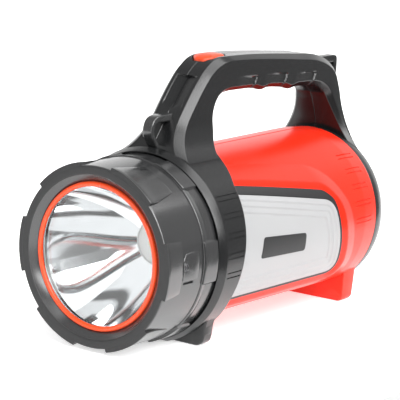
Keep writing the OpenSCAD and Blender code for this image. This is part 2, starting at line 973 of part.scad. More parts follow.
// Side view of the shroud
function shroud_side() = concat(
    [[shroud_at - shroud_lip - 1, 1]],
    [for (p = shroud_edge) [p[1], p[0]]],
    [[shroud_at + shroud_high_len + 14, shroud_top + 1], [shroud_at - shroud_lip - 1, shroud_top + 1]]
);

module shroud_half() {
    intersection() {
        revolve([
            [shroud_bore_r - 2, shroud_at - shroud_lip],
            [shroud_r - shroud_bevel_d, shroud_at - shroud_lip],
            [shroud_r, shroud_at - shroud_lip + shroud_bevel],
            [shroud_r, shroud_at + shroud_high_len + 15],
            [shroud_bore_r - 2, shroud_at + shroud_high_len + 15]
        ]);
        side_prism(-over, shroud_r * 2)
            polygon(shroud_side());
    }
    for (i = [0 : shroud_ribs - 1])
        revolve_arc([
            [shroud_r - 1, shroud_at + 4.5],
            [shroud_r + rib_h, shroud_at + 4.5 + rib_h],
            [shroud_r + rib_h, shroud_at + shroud_low_len - 1],
            [shroud_r - 1, shroud_at + shroud_low_len]
        ], -10 + i * rib_pitch, rib_arc);
}

// Front foot, blended into the round shroud
module front_foot_half() {
    from = shroud_at + front_foot_at;
    corner = 6;
    blend = 12;
    centre_z = axis_z - sqrt(pow(shroud_r - sink_in + blend, 2) - pow(front_foot_hw + blend, 2));
    end_angle = atan2(axis_z - centre_z, -(front_foot_hw + blend));
    front_prism(from, from + front_foot_len)
        polygon(concat(
            [[-over, axis_z - 30], [-over, 0]],
            arc([front_foot_hw - corner, corner], corner, -90, 0, 6),
            arc([front_foot_hw + blend, centre_z], blend, 180, end_angle, 6),
            [[front_foot_hw - 2, axis_z - 30]]
        ));
}

// Rear rim of the housing, rounded behind
module rear_rim_half() {
    revolve(concat(
        [[rear_lip_r - 2, barrel_end - 1], [rear_r, barrel_end - 1]],
        [for (i = [0 : 8])
            let (a = 90 * i / 8)
                [rear_edge_r + (rear_r - rear_edge_r) * cos(a),
                    barrel_end + 4 + (rear_len - 4) * sin(a)]],
        [[rear_lip_r - 2, rim_end]]
    ));
}

// Rear strap lug with its slot
lug_top = grip_top - grip_drop - 1.6;
slot_w = 6;
slot_h = 6.2;
slot_wall = 4.4;
module rear_lug_half() {
    slot_at = overall_len - slot_wall - slot_w;
    side_prism(-over, lug_w / 2)
        difference() {
            polygon(concat(
                [[barrel_end - 2, lug_top - 4], [barrel_end + 3, lug_top]],
                arc([overall_len - 4, lug_top - 4], 4, 90, 0, 6),
                arc([overall_len - 5, lug_top - 9], 5, 0, -60, 6),
                [[barrel_end + 7, lug_top - 17], [barrel_end + 2, lug_top - 12]]
            ));
            translate([slot_at, lug_top - slot_wall - slot_h])
                square([slot_w, slot_h]);
        }
}

// Space kept free for the barrel, the collar, the battery and the rear cap in its groove
module housing_core() {
    revolve(concat(
        [[0, -1], [block_r + fit, -1], [block_r + fit, shroud_at], [shroud_bore_r, shroud_at]],
        [for (p = body_outline) [p[1] + fit, p[0]]],
        [
            [rear_r + fit, barrel_end + snug],
            [rear_lip_r, barrel_end + snug],
            [rear_lip_r, cap_groove_at],
            [cap_flange_r, cap_groove_at],
            [cap_flange_r, cap_groove_at + cap_groove_w],
            [rear_bore_r, cap_groove_at + cap_groove_w],
            [rear_bore_r, overall_len],
            [0, overall_len]
        ]
    ));
}

// Screw places of the handle as [station, height]
case_screw_places = [
    [shroud_at + 33, shroud_top + 13],
    [finger_at(0) + 1, grip_top - 9.5],
    [barrel_end - 11.5, grip_top - grip_drop - 8],
    [barrel_end + 6.5, shroud_top + 9]
];
boss_depth = 8;

// Cavity under the button for the switch and its board
button_at = shroud_at + 56;
well_hw = button_w / 2 + 1 + fit;
well_hl = button_len / 2 + 1 + fit;
board_z = grip_top - 14;
board_hw = 8;
board_hl = 11;
module button_well() {
    block(
        [-button_w / 2 - fit, button_at - button_len / 2 - fit, board_z],
        [button_w / 2 + fit, button_at + button_len / 2 + fit, grip_top + 5]
    );
    block(
        [-well_hw, button_at - well_hl, board_z],
        [well_hw, button_at + well_hl, button_flange_z + flange_t + fit]
    );
    block(
        [-board_hw - snug, button_at - board_hl - snug, board_z - board_t],
        [board_hw + snug, button_at + board_hl + snug, board_z + tiny]
    );
}

// Half of the black housing: shroud, front foot, handle, rear rim and strap lug
module handle_half() {
    right_side()
        difference() {
            union() {
                loft(handle_sections());
                shroud_half();
                front_foot_half();
                rear_rim_half();
                rear_lug_half();
            }
            housing_core();
            finger_windows();
            column_recess();
            button_well();
            loop_sockets();
        }
}

// Finger windows in the side of the grip
module finger_windows() {
    for (i = [0 : 2])
        let (
            from = finger_from + i * finger_pitch,
            to = from + 0.64 * finger_pitch,
            z = grip_under + 5.2 - grip_drop * (0.06 + 0.19 * i)
        )
        side_prism(grip_hw - window_depth, grip_hw + 5)
            polygon([[from, z], [to, z - 0.8], [to, z - 0.8 + window_h], [from, z + window_h]]);
}

// Shallow recess in the front of the handle above the strap loop
recess_hw = 7;
recess_d = 1.2;
module column_recess() {
    foot = outer_edge[2] + 0.3 * (outer_edge[1] - outer_edge[2]);
    head = outer_edge[3] + 0.2 * (outer_edge[4] - outer_edge[3]);
    slope = atan2(head[0] - foot[0], head[1] - foot[1]);
    reach = norm(head - foot);
    translate([0, along(foot[0]), foot[1]])
        rotate([-slope, 0, 0])
            translate([-2 * over, -6, 0])
                cube([recess_hw + 2 * over, 6 + recess_d, reach]);
}

module handle_right() {
    color("#2a2b2d")
        difference() {
            handle_half();
            for (p = case_screw_places)
                side_prism(-1, boss_depth)
                    translate(p)
                        circle(r = case_screw_r + snug / 2);
        }
}

module handle_left() {
    color("#2a2b2d")
        difference() {
            left_hand()
                handle_half();
            for (p = case_screw_places) {
                side_prism(-grip_hw * 2, 1)
                    translate(p)
                        circle(r = case_screw_r + snug);
                side_prism(-grip_hw * 2, -grip_hw + case_screw_seat)
                    translate(p)
                        circle(r = case_screw_head_r + fit);
            }
        }
}

// Screws that close the housing from its left side
module handle_screws() {
    head_h = 2.4;
    seat_x = -grip_hw + case_screw_seat;
    color("#7d8083")
        for (p = case_screw_places)
            difference() {
                union() {
                    side_prism(seat_x - tiny, boss_depth - 0.5)
                        translate(p)
                            circle(r = case_screw_r);
                    side_prism(seat_x - head_h, seat_x)
                        translate(p)
                            circle(r = case_screw_head_r);
                }
                for (turn = [0, 90])
                    side_prism(seat_x - head_h - 1, seat_x - head_h + 1)
                        translate(p)
                            rotate(turn)
                                square([case_screw_head_r * 1.2, 0.7], center = true);
            }
}

// Strap loop: a bent bar whose two ends sit in sockets of the housing
loop_path = [
    [shroud_at + 24, shroud_top + 16],
    [shroud_at + 5, shroud_top + 16.2],
    [shroud_at + 1, shroud_top + 14.2],
    [shroud_at - 0.3, shroud_top + 7.9],
    [shroud_at + 7, shroud_top - 2]
];

// Outline of a bar of a given width along a path, with mitred bends
function bar_outline(path, w) =
    let (
        n = len(path),
        side = [for (i = [0 : n - 1])
            let (
                u = i > 0 ? (path[i] - path[i - 1]) / norm(path[i] - path[i - 1]) : [0, 0],
                v = i < n - 1 ? (path[i + 1] - path[i]) / norm(path[i + 1] - path[i]) : [0, 0],
                t = (u + v) / norm(u + v),
                stretch = norm(u) * norm(v) > 0 ? sqrt(2 / (1 + u * v)) : 1
            )
            [-t[1], t[0]] * stretch * w / 2]
    )
    concat(
        [for (i = [0 : n - 1]) path[i] + side[i]],
        [for (i = [n - 1 : -1 : 0]) path[i] - side[i]]
    );

module front_strap_loop() {
    color("#2d2e30")
        difference() {
            side_prism(-loop_w / 2, loop_w / 2)
                polygon(bar_outline(loop_path, loop_t));
            loop_core();
        }
}

// Space below the loop that the collar takes
module loop_core() {
    revolve([[0, 0], [block_r + fit, 0], [block_r + fit, shroud_at - fit],
        [shroud_bore_r + 2, shroud_at], [shroud_bore_r + 2, shroud_at + 20], [0, shroud_at + 20]]);
}

module loop_sockets() {
    difference() {
        side_prism(-loop_w / 2 - snug, loop_w / 2 + snug)
            polygon(bar_outline(concat([loop_path[0] + [snug, 0]], [for (i = [1 : 4]) loop_path[i]]),
                loop_t + 2 * snug));
        revolve([[0, 0], [shroud_bore_r + 2 - snug, 0], [shroud_bore_r + 2 - snug, shroud_at + 20],
            [0, shroud_at + 20]]);
    }
}

// Button with cut corners and a hidden retaining flange
flange_t = 1.6;
button_flange_z = grip_top - 5.6;
button_top = grip_top + button_proud;
function cut_rectangle(w, l, cut) = [
    [w / 2 - cut, -l / 2], [w / 2, -l / 2 + cut], [w / 2, l / 2 - cut], [w / 2 - cut, l / 2],
    [cut - w / 2, l / 2], [-w / 2, l / 2 - cut], [-w / 2, cut - l / 2], [cut - w / 2, -l / 2]
];
module push_button() {
    color("#ef4a2a")
        translate([0, along(button_at), 0]) {
            translate([0, 0, button_flange_z])
                linear_extrude(button_top - 0.8 - button_flange_z)
                    polygon(cut_rectangle(button_w, button_len, button_corner));
            translate([0, 0, button_top - 0.8 - tiny])
                linear_extrude(0.8 + tiny)
                    polygon(cut_rectangle(button_w - 1.6, button_len - 1.6, button_corner));
            translate([0, 0, button_flange_z])
                linear_extrude(flange_t)
                    polygon(cut_rectangle(button_w + 2, button_len + 2, button_corner));
        }
}

// Switch under the button: body, plunger and board
plunger_r = 1.7;
switch_floor = 0.6;
module switch_plunger() {
    foot_z = board_z + switch_floor + button_travel + fit;
    color("#1b1b1b")
        translate([0, along(button_at), foot_z])
            cylinder(r = plunger_r, h = button_flange_z - foot_z);
}

module tact_switch() {
    color("#3c3c40")
        difference() {
            translate([-switch_w / 2, along(button_at) - switch_w / 2, board_z])
                cube([switch_w, switch_w, switch_h]);
            translate([0, along(button_at), board_z + switch_floor])
                cylinder(r = plunger_r + fit, h = switch_h);
        }
}

module switch_board() {
    color("#2f6b3f")
        block(
            [-board_hw, button_at - board_hl, board_z - board_t],
            [board_hw, button_at + board_hl, board_z]
        );
}

// Battery tray on the flat floor of the barrel, with a cradle for each cell
tray_from = barrel_at + 34;
tray_len = cell_len + 2 * tray_wall + 2;
cell_pitch = 2 * cell_r + 1.2;
tray_hw = cell_pitch * cell_count / 2 + 1;
cell_z = flat_z + body_wall + tray_wall + cell_r + snug;
post_top = cell_z + cell_r + 3;
function cell_x(i) = (i - (cell_count - 1) / 2) * cell_pitch;

module battery_tray() {
    color("#3b4046")
        difference() {
            union() {
                block(
                    [-tray_hw, tray_from, flat_z + body_wall],
                    [tray_hw, tray_from + tray_len, cell_z - 2]
                );
                for (end = [tray_from, tray_from + tray_len - tray_wall])
                    block([-tray_hw, end, flat_z + body_wall], [tray_hw, end + tray_wall, post_top]);
            }
            for (i = [0 : cell_count - 1])
                translate([cell_x(i), along(tray_from + tray_wall), cell_z])
                    rotate([-90, 0, 0])
                        cylinder(r = cell_r + snug, h = tray_len - 2 * tray_wall);
        }
}

// Round cells with their raised positive caps
module battery_cells() {
    cap_h = 1.4;
    color("#3f77b4")
        for (i = [0 : cell_count - 1])
            translate([cell_x(i), along(tray_from + tray_wall + 0.3), cell_z])
                rotate([-90, 0, 0]) {
                    cylinder(r = cell_r, h = cell_len);
                    cylinder(r = 3, h = cell_len + cap_h);
                }
}

// Driver board across the end walls of the tray, with its tall parts
module driver_board() {
    hw = tray_hw - driver_margin;
    color("#2f6b3f")
        block([-hw, tray_from, post_top], [hw, tray_from + tray_len, post_top + board_t]);
    color("#26282c")
        for (p = [[-0.5, 0.2, 0.65], [0.35, 0.3, 0.8], [-0.25, 0.62, 1]])
            translate([p[0] * hw, along(tray_from + p[1] * tray_len), post_top + board_t - tiny])
                cylinder(r = driver_part_h / 2, h = p[2] * driver_part_h);
}

// Pair of wires from the driver board to the back of the lamp plate
lead_r = 0.9;
module lamp_leads() {
    lead_z = post_top + board_t + lead_r;
    from = sink_back + fin_h;
    color("#b03030")
        for (side = [-1, 1])
            translate([side * 4, along(from), lead_z])
                rotate([-90, 0, 0])
                    cylinder(r = lead_r, h = tray_from + 8 - from);
}

// Rear cap: a disc held in the groove of the rear rim, with the charging port
cap_back = rim_end - 0.8;
cap_groove_at = rim_end - cap_t - 0.5;
cap_groove_w = 2.6;
cap_flange_at = cap_groove_at + snug;
port_z = axis_z - 16;
hinge_r = flap_t / 2 + 0.2;
hinge_z = port_z + flap_h / 2 - hinge_r;
hinge_at = cap_back - flap_t / 2;
pocket_at = cap_back - flap_t - 0.2;

module rear_cap() {
    flange_r = cap_flange_r - snug;
    disc_r = rear_bore_r - snug;
    color("#2a2b2d")
        difference() {
            revolve([
                [0, cap_flange_at],
                [flange_r, cap_flange_at],
                [flange_r, cap_flange_at + cap_groove_w - 2 * snug],
                [disc_r, cap_flange_at + cap_groove_w - 2 * snug],
                [disc_r, cap_back - 1],
                [disc_r - 1, cap_back],
                [disc_r - 5, cap_back],
                [disc_r - 6, cap_back - 0.8],
                [0, cap_back - 0.8]
            ]);
            block(
                [-flap_w / 2 - fit, pocket_at, port_z - flap_h / 2 - 2.2],
                [flap_w / 2 + fit, cap_back + 1, hinge_z]
            );
            translate([-flap_w / 2 - fit, along(hinge_at), hinge_z])
                rotate([0, 90, 0])
                    cylinder(r = hinge_r + hinge_gap, h = flap_w + 2 * fit);
            block(
                [-flap_w / 2 - fit, hinge_at, hinge_z - 1],
                [flap_w / 2 + fit, cap_back + 1, hinge_z + hinge_r + hinge_gap]
            );
            block(
                [-socket_w / 2 - snug, cap_flange_at - 1, port_z - socket_h / 2 - snug],
                [socket_w / 2 + snug, cap_back, port_z + socket_h / 2 + snug]
            );
        }
}

// Charging socket: a metal sleeve with its contact tongue
module charge_socket() {
    wall = 0.4;
    from = pocket_at - 7;
    color("#c8cacc") {
        difference() {
            block(
                [-socket_w / 2, from, port_z - socket_h / 2],
                [socket_w / 2, pocket_at, port_z + socket_h / 2]
            );
            block(
                [-socket_w / 2 + wall, from + 1, port_z - socket_h / 2 + wall],
                [socket_w / 2 - wall, pocket_at + 1, port_z + socket_h / 2 - wall]
            );
        }
        block(
            [-socket_w / 2 + 1.6, from + 1 - tiny, port_z - 0.4],
            [socket_w / 2 - 1.6, pocket_at - 1, port_z + 0.4]
        );
    }
}

// Rubber flap over the port, turning on a round bead along its top
module port_cover() {
    color("#1f2022") {
        translate([-flap_w / 2, along(hinge_at), hinge_z])
            rotate([0, 90, 0])
                cylinder(r = hinge_r, h = flap_w);
        block(
            [-flap_w / 2, pocket_at + 0.2, port_z - flap_h / 2],
            [flap_w / 2, cap_back, hinge_z]
        );
    }
}

head_shell();
head_screws();
accent_ring();
front_lens();
lens_seal();
reflector();
led_emitter();
led_board();
heat_sink();
collar_ring();
handle_right();
handle_left();
handle_screws();
front_strap_loop();
push_button();
switch_plunger();
tact_switch();
switch_board();
body_shell_right();
body_shell_left();
side_trim_right();
side_trim_left();
side_lens_right();
side_lens_left();
side_leds_right();
side_leds_left();
battery_tray();
battery_cells();
driver_board();
lamp_leads();
rear_cap();
charge_socket();
port_cover();
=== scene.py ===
import bmesh
import bpy
import numpy as np
from mathutils import Matrix


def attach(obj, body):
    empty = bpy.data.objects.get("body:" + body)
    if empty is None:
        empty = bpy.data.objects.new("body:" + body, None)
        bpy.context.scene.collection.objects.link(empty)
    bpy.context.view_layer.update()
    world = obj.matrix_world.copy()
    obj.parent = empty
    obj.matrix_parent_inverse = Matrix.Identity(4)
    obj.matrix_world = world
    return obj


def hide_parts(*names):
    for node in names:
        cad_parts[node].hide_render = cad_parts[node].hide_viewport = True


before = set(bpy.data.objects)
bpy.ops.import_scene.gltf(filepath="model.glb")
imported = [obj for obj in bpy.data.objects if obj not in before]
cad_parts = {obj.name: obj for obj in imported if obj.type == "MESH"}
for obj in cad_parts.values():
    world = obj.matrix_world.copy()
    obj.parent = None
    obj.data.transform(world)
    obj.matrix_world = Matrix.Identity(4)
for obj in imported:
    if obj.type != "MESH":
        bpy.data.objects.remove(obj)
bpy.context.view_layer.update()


# Head shell: the black bell that holds the window. It is moulded in one piece, with six grip lugs round its
# rim whose tails run out along it, narrow drain slots, and a pad on each side where a screw goes into the
# collar behind it. Its flat front face is matt, the rest is glossy.
half_length = 120.5
axis_height = 54.4


def on_axis(station, radius, angle):
    """Point at a station behind the front face, a radius and an angle about the lamp axis, in mm and degrees:
    x = radius cos angle, y = station - half length, z = axis height + radius sin angle."""
    station, radius, angle = np.broadcast_arrays(station, radius, np.radians(angle))
    return np.stack([radius * np.cos(angle), station - half_length, axis_height + radius * np.sin(angle)], -1)


def eased(corners, reach, steps=4):
    """Closed path with rounded corners: a corner c becomes (1-t)^2 p + 2t(1-t) c + t^2 q, where p and q lie
    on its two legs at the reach, or at 45% of a shorter leg."""
    def leg(way):
        length = np.linalg.norm(way, axis=-1, keepdims=True)
        return way / np.maximum(length, 1e-9) * np.minimum(reach, 0.45 * length)
    p = corners + leg(np.roll(corners, 1, -2) - corners)
    q = corners + leg(np.roll(corners, -1, -2) - corners)
    t = np.linspace(0, 1, steps + 1)[:, None]
    c = corners[..., None, :]
    path = (1 - t) ** 2 * p[..., None, :] + 2 * t * (1 - t) * c + t ** 2 * q[..., None, :]
    return path.reshape(*corners.shape[:-2], -1, corners.shape[-1])


def skin(points, rows=False, columns=False):
    """Quads between the neighbours of an (n, m, 3) grid; a closed direction joins its last points to its
    first."""
    index = np.arange(points.shape[0] * points.shape[1]).reshape(points.shape[:2])
    if rows:
        index = np.concatenate([index, index[:1]], 0)
    if columns:
        index = np.concatenate([index, index[:, :1]], 1)
    quads = np.stack([index[:-1, :-1], index[1:, :-1], index[1:, 1:], index[:-1, 1:]], -1)
    return points.reshape(-1, 3), quads.reshape(-1, 4)


def land(station, half, top, root, middle, edge=0.5, slot=None, slope=0.0):
    """Raised land on a turned piece: along its stations it has half widths in degrees and top radii, its four
    edges are quarter circles of the edge size, and its walls go down to a floor at the root radius. A slot in
    it is given by its first and last station and its two sides as shares of the half width, and is 0.9 deep.
    Its side walls lean out by the slope in degrees."""
    quarter = np.radians(np.linspace(0, 90, 4))
    inset, drop = edge * (1 - np.cos(quarter)), edge * (1 - np.sin(quarter))
    first, last = station[0], station[-1]
    long = np.linspace(first + edge, last - edge, 9)[1:-1]
    cross = np.linspace(-1, 1, 9)[1:-1]
    if slot:
        long = np.sort(np.append(long, [slot[0], slot[0] + 0.15, slot[1] - 0.15, slot[1]]))
        cross = np.sort(np.append(cross, [slot[2], slot[2] + 0.01, slot[3] - 0.01, slot[3]]))
    s = np.concatenate([[first], first + inset, long, last - inset[::-1], [last]])[:, None]
    fall = np.concatenate([[0], drop, 0 * long, drop[::-1], [0]])[:, None]
    share = np.concatenate([[-1], -1 + 0 * inset, cross, 1 + 0 * inset, [1]])
    side_fall = np.concatenate([[0], drop, 0 * cross, drop[::-1], [0]])
    shift = np.concatenate([[0], inset, -cross * edge, -inset[::-1], [0]])
    wide, high = np.interp(s, station, half), np.interp(s, station, top)
    angle = middle + share * wide + np.degrees(shift / high)
    radius = high - fall - side_fall
    if slot:
        in_length = (s > slot[0] + 0.1) & (s < slot[1] - 0.1)
        in_width = (share > slot[2] + 0.005) & (share < slot[3] - 0.005)
        radius = radius - 0.9 * (in_length & in_width)
    radius[[0, -1]] = radius[:, [0, -1]] = root
    angle[:, 0] -= slope
    angle[:, -1] += slope
    return [skin(on_axis(s, radius, angle)), skin(on_axis(s, root, angle))]


def piece(name, skins, material, body, slot, *nodes, crease=30):
    """One piece from its skins: points in the same place are welded, faces turned outwards, and edges bent by
    more than the crease angle stay sharp. It rides on a body and stands for the named nodes."""
    starts = np.cumsum([0] + [len(points) for points, _ in skins[:-1]])
    points = np.concatenate([points for points, _ in skins]) * 0.001
    quads = np.concatenate([quads + start for (_, quads), start in zip(skins, starts)])
    mesh = bpy.data.meshes.new(name)
    mesh.from_pydata(points.tolist(), [], quads.tolist())
    build = bmesh.new()
    build.from_mesh(mesh)
    bmesh.ops.remove_doubles(build, verts=build.verts, dist=2e-6)
    bmesh.ops.recalc_face_normals(build, faces=build.faces)
    build.to_mesh(mesh)
    build.free()
    mesh.shade_smooth()
    mesh.set_sharp_from_angle(angle=np.radians(crease))
    mesh.materials.append(material)
    made = bpy.data.objects.new(name, mesh)
    bpy.context.scene.collection.objects.link(made)
    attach(made, body)
    if nodes:
        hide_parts(*nodes)


def moulded(name, dark, light, rough, grain, depth, cloud=14, gloss=0.5):
    """Moulded plastic: its shade drifts slowly between a dark and a light tone, a fine grain of the mould's
    texture is raised as a bump, and the roughness follows the grain."""
    material = bpy.data.materials.new(name)
    material.use_nodes = True
    nodes, link = material.node_tree.nodes, material.node_tree.links.new
    shader = nodes["Principled BSDF"]
    place = nodes.new("ShaderNodeTexCoord")
    fine, slow = nodes.new("ShaderNodeTexNoise"), nodes.new("ShaderNodeTexNoise")
    fine.inputs["Scale"].default_value, fine.inputs["Detail"].default_value = grain, 3
    slow.inputs["Scale"].default_value, slow.inputs["Detail"].default_value = cloud, 4
    tone = nodes.new("ShaderNodeMix")
    tone.data_type = "RGBA"
    tone.inputs[6].default_value, tone.inputs[7].default_value = (*dark, 1), (*light, 1)
    sheen = nodes.new("ShaderNodeMapRange")
    sheen.inputs["To Min"].default_value = rough - 0.07
    sheen.inputs["To Max"].default_value = rough + 0.07
    bump = nodes.new("ShaderNodeBump")
    bump.inputs["Strength"].default_value, bump.inputs["Distance"].default_value = depth, 0.0002
    shader.inputs["Specular IOR Level"].default_value = gloss
    link(place.outputs["Object"], fine.inputs["Vector"])
    link(place.outputs["Object"], slow.inputs["Vector"])
    link(slow.outputs["Fac"], tone.inputs[0])
    link(tone.outputs[2], shader.inputs["Base Color"])
    link(fine.outputs["Fac"], sheen.inputs["Value"])
    link(sheen.outputs["Result"], shader.inputs["Roughness"])
    link(fine.outputs["Fac"], bump.inputs["Height"])
    link(bump.outputs["Normal"], shader.inputs["Normal"])
    return material


head_black = moulded("head_black", (0.017, 0.0175, 0.018), (0.022, 0.0225, 0.023), 0.20, 2600, 0.05,
                     gloss=1.0)
nodes, link = head_black.node_tree.nodes, head_black.node_tree.links.new
place, ahead = nodes.new("ShaderNodeTexCoord"), nodes.new("ShaderNodeSeparateXYZ")
front_face = nodes.new("ShaderNodeMapRange")
front_face.inputs["From Min"].default_value = -0.11985
front_face.inputs["From Max"].default_value = -0.12015
matt, dim = nodes.new("ShaderNodeMix"), nodes.new("ShaderNodeMix")
matt.inputs[3].default_value = 0.6
dim.inputs[2].default_value, dim.inputs[3].default_value = 1.0, 0.45
link(place.outputs["Object"], ahead.inputs["Vector"])
link(ahead.outputs["Y"], front_face.inputs["Value"])
link(front_face.outputs["Result"], matt.inputs[0])
link(front_face.outputs["Result"], dim.inputs[0])
link(nodes["Map Range"].outputs["Result"], matt.inputs[2])
link(matt.outputs[0], nodes["Principled BSDF"].inputs["Roughness"])
link(dim.outputs[0], nodes["Principled BSDF"].inputs["Specular IOR Level"])

drain_middles, drain_begin, drain_end = (-9.6, 189.6), 16.2, 24.9
screw_at, screw_radius = 17.3, 52.6


def bell_radius(station):
    """Radius of the bell: it grows evenly from 52 behind the rim to 53.2 at its rear edge."""
    return 52 + 1.2 * (station - 0.8) / 32.2


def apart(angle, middle):
    """Signed difference of two angles in degrees, from -180 to 180."""
    return (angle - middle + 180) % 360 - 180


drain_lines = [middle + step for middle in drain_middles for step in (-0.85, -0.55, 0.55, 0.85)]
pad_lines = [side + step for side in (0, 180) for step in (-3, -2, -1, 0, 1, 2, 3)]
special = np.array(drain_lines + pad_lines) % 360
even = np.arange(0, 360, 2.0)
even = even[np.abs(apart(even[:, None], special)).min(1) > 0.5]
head_angle = np.sort(np.concatenate([even, special]))
head_station = np.sort(np.concatenate([
    np.arange(2, 16, 1.5), np.arange(27.5, 32.5, 1.5), np.arange(16.7, 20, 0.7), np.arange(20.8, 24, 1.0),
    [15.9, 16.2, 24.7, 25.0, 25.3, 26.2]]))
bell = np.stack([bell_radius(head_station), head_station], 1)
corners = np.concatenate([[[47.4, 0], [51.2, 0], [52, 0.8]], bell,
                          [[53.2, 33], [46.1, 33], [46.1, 5.8], [42.6, 5.8], [42.6, 4.3]]])
reach = np.array([0.35, 0.5, 0.4] + [0.0] * len(bell) + [0.35, 0, 0, 0, 0.3])[:, None]
profile = eased(corners, reach, 3)
shell = np.broadcast_to(profile[:, :1], (len(profile), len(head_angle))).copy()
level = profile[:, 1:]
outside = (profile[:, :1] > 51.5) & (level > 2) & (level < 32.5)
for middle in drain_middles:
    across = np.abs(apart(head_angle, middle))
    lengthways = np.minimum(level - drain_begin + 0.15, drain_end + 0.15 - level)
    shell -= outside * 1.2 * np.clip((0.85 - across) / 0.3, 0, 1) * np.clip(lengthways / 0.3, 0, 1)
for side in (0, 180):
    across = np.radians(apart(head_angle, side)) * screw_radius
    shell -= outside * 2.4 * np.clip(2 - np.hypot(across, level - screw_at) / 2.0, 0, 1)
head_skins = [skin(on_axis(level, shell, head_angle), rows=True, columns=True)]
for middle in range(0, 360, 60):
    if middle % 180:
        drain = {60: (17.5, 23.2, 0.68, 0.77), 120: (17.5, 23.2, -0.77, -0.68)}.get(middle)
        head_skins += land([0.15, 8, 24.5], [17.5, 17, 13], [54, 53.45, 53.2], 51.3, middle, 0.5, drain)
    else:
        head_skins += land([0.15, 9, 17], [17.5, 17, 16], [54, 53.15, 52.3], 51.3, middle, 0.35)
turn = np.radians(np.linspace(0, 360, 96, endpoint=False))
hole = np.stack([np.cos(turn), np.sin(turn)], -1)
pad = np.array([[15.2, 4.0], [17.4, 7.8], [29, 8.6], [29, -7.6], [15.2, -7.6]]) - [screw_at, 0]
pad = eased(pad, 0.8, 18)
heading = np.arctan2(pad[:, 1], pad[:, 0])
border = np.stack([np.interp(turn, heading, pad[:, k], period=2 * np.pi) for k in (0, 1)], -1)
rows = np.stack([0 * border, 2.2 * hole, 2.25 * hole, 2.45 * hole, 0.5 * border + 1.3 * hole,
                 border - 0.45 * hole, border - 0.2 * hole, border, border])
lift = np.array([-1.9, -1.9, -0.05, 0.1, 0.28, 0.28, 0.2, 0.0, -1.2])[:, None]
pad_station = rows[..., 0] + screw_at
for side, down in ((0, 1), (180, -1)):
    pad_angle = side + np.degrees(down * rows[..., 1] / screw_radius)
    head_skins.append(skin(on_axis(pad_station, bell_radius(pad_station) + lift, pad_angle), columns=True))
piece("head_shell_form", head_skins, head_black, "lamp", "head_plastic", "head_shell")


# Head screws: two self-tapping screws in the pads at the sides of the head. Zinc-plated steel, dull from
# handling.
def coat(finish, *names):
    """Gives CAD nodes a finish in place of their plain colour."""
    for name in names:
        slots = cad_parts[name].data.materials
        slots.clear()
        slots.append(finish)


screw_zinc = moulded("screw_zinc", (0.20, 0.20, 0.21), (0.30, 0.30, 0.31), 0.38, 1800, 0.15, 300)
screw_zinc.node_tree.nodes["Principled BSDF"].inputs["Metallic"].default_value = 1.0
coat(screw_zinc, "head_screws")

# Accent ring: a gloss orange-red ring with a half-round lip, moulded in one piece and clipped in behind the
# mouth of the head.
whole_turn = np.linspace(0, 360, 240, endpoint=False)


def turned(profile):
    """Ring about the lamp axis: a closed profile of radius and station is carried round a whole turn."""
    return skin(on_axis(profile[:, 1:], profile[:, :1], whole_turn), rows=True, columns=True)


ring_red = moulded("ring_red", (0.78, 0.060, 0.010), (0.84, 0.072, 0.013), 0.26, 1500, 0.05)
lip_radius = 1.48
half_turn = np.radians(np.linspace(180, 360, 17))
lip = np.stack([41.08 + lip_radius * np.cos(half_turn), 4.3 + lip_radius * np.sin(half_turn)], 1)
accent = np.concatenate([lip, [[42.56, 5.85], [46.0, 5.85], [46.0, 7.15], [41.0, 7.15], [40.6, 5.4]]])
piece("accent_ring_form", [turned(accent)], ring_red, "lamp", "orange_plastic", "accent_ring")

# Window and its seal: a flat disc of clear polished plastic that the accent ring presses on a black rubber
# seal. The charging socket's flap at the rear is of the same rubber.
clear = bpy.data.materials.new("clear_window")
clear.use_nodes = True
nodes, link = clear.node_tree.nodes, clear.node_tree.links.new
shader = nodes["Principled BSDF"]
shader.inputs["Transmission Weight"].default_value = 1.0
shader.inputs["Base Color"].default_value = (0.97, 0.985, 0.99, 1)
shader.inputs["IOR"].default_value = 1.45
haze, smear = nodes.new("ShaderNodeTexNoise"), nodes.new("ShaderNodeMapRange")
haze.inputs["Scale"].default_value, haze.inputs["Detail"].default_value = 60, 4
smear.inputs["To Max"].default_value = 0.03
link(nodes.new("ShaderNodeTexCoord").outputs["Object"], haze.inputs["Vector"])
link(haze.outputs["Fac"], smear.inputs["Value"])
link(smear.outputs["Result"], shader.inputs["Roughness"])
disc = np.array([[0.02, 7.2], [46.0, 7.2], [46.0, 9.7], [0.02, 9.7]])
disc = eased(disc, np.array([[0], [0.3], [0.3], [0]]), 3)
piece("window_form", [turned(disc)], clear, "lamp", "clear_plastic", "front_lens")
rubber = moulded("seal_rubber", (0.010, 0.010, 0.010), (0.018, 0.018, 0.018), 0.7, 2200, 0.2)
coat(rubber, "lens_seal", "port_cover")

# Reflector: a moulded bowl with a vacuum-metallised mirror inside. The shrinking plastic left it a little
# wavy round the axis, so what it mirrors breaks up into streaks that run to the lamp. A bead with the same
# coat edges the window.
mirror = bpy.data.materials.new("mirror_coat")
mirror.use_nodes = True
nodes, link = mirror.node_tree.nodes, mirror.node_tree.links.new
shader = nodes["Principled BSDF"]
shader.inputs["Metallic"].default_value = 1.0
mist, tint, dull = (nodes.new("ShaderNode" + kind) for kind in ("TexNoise", "Mix", "MapRange"))
mist.inputs["Scale"].default_value, mist.inputs["Detail"].default_value = 90, 5
tint.data_type = "RGBA"
tint.inputs[6].default_value, tint.inputs[7].default_value = (0.74, 0.745, 0.75, 1), (0.80, 0.805, 0.81, 1)
dull.inputs["To Min"].default_value, dull.inputs["To Max"].default_value = 0.02, 0.06
link(nodes.new("ShaderNodeTexCoord").outputs["Object"], mist.inputs["Vector"])
link(mist.outputs["Fac"], tint.inputs[0])
link(tint.outputs[2], shader.inputs["Base Color"])
link(mist.outputs["Fac"], dull.inputs["Value"])
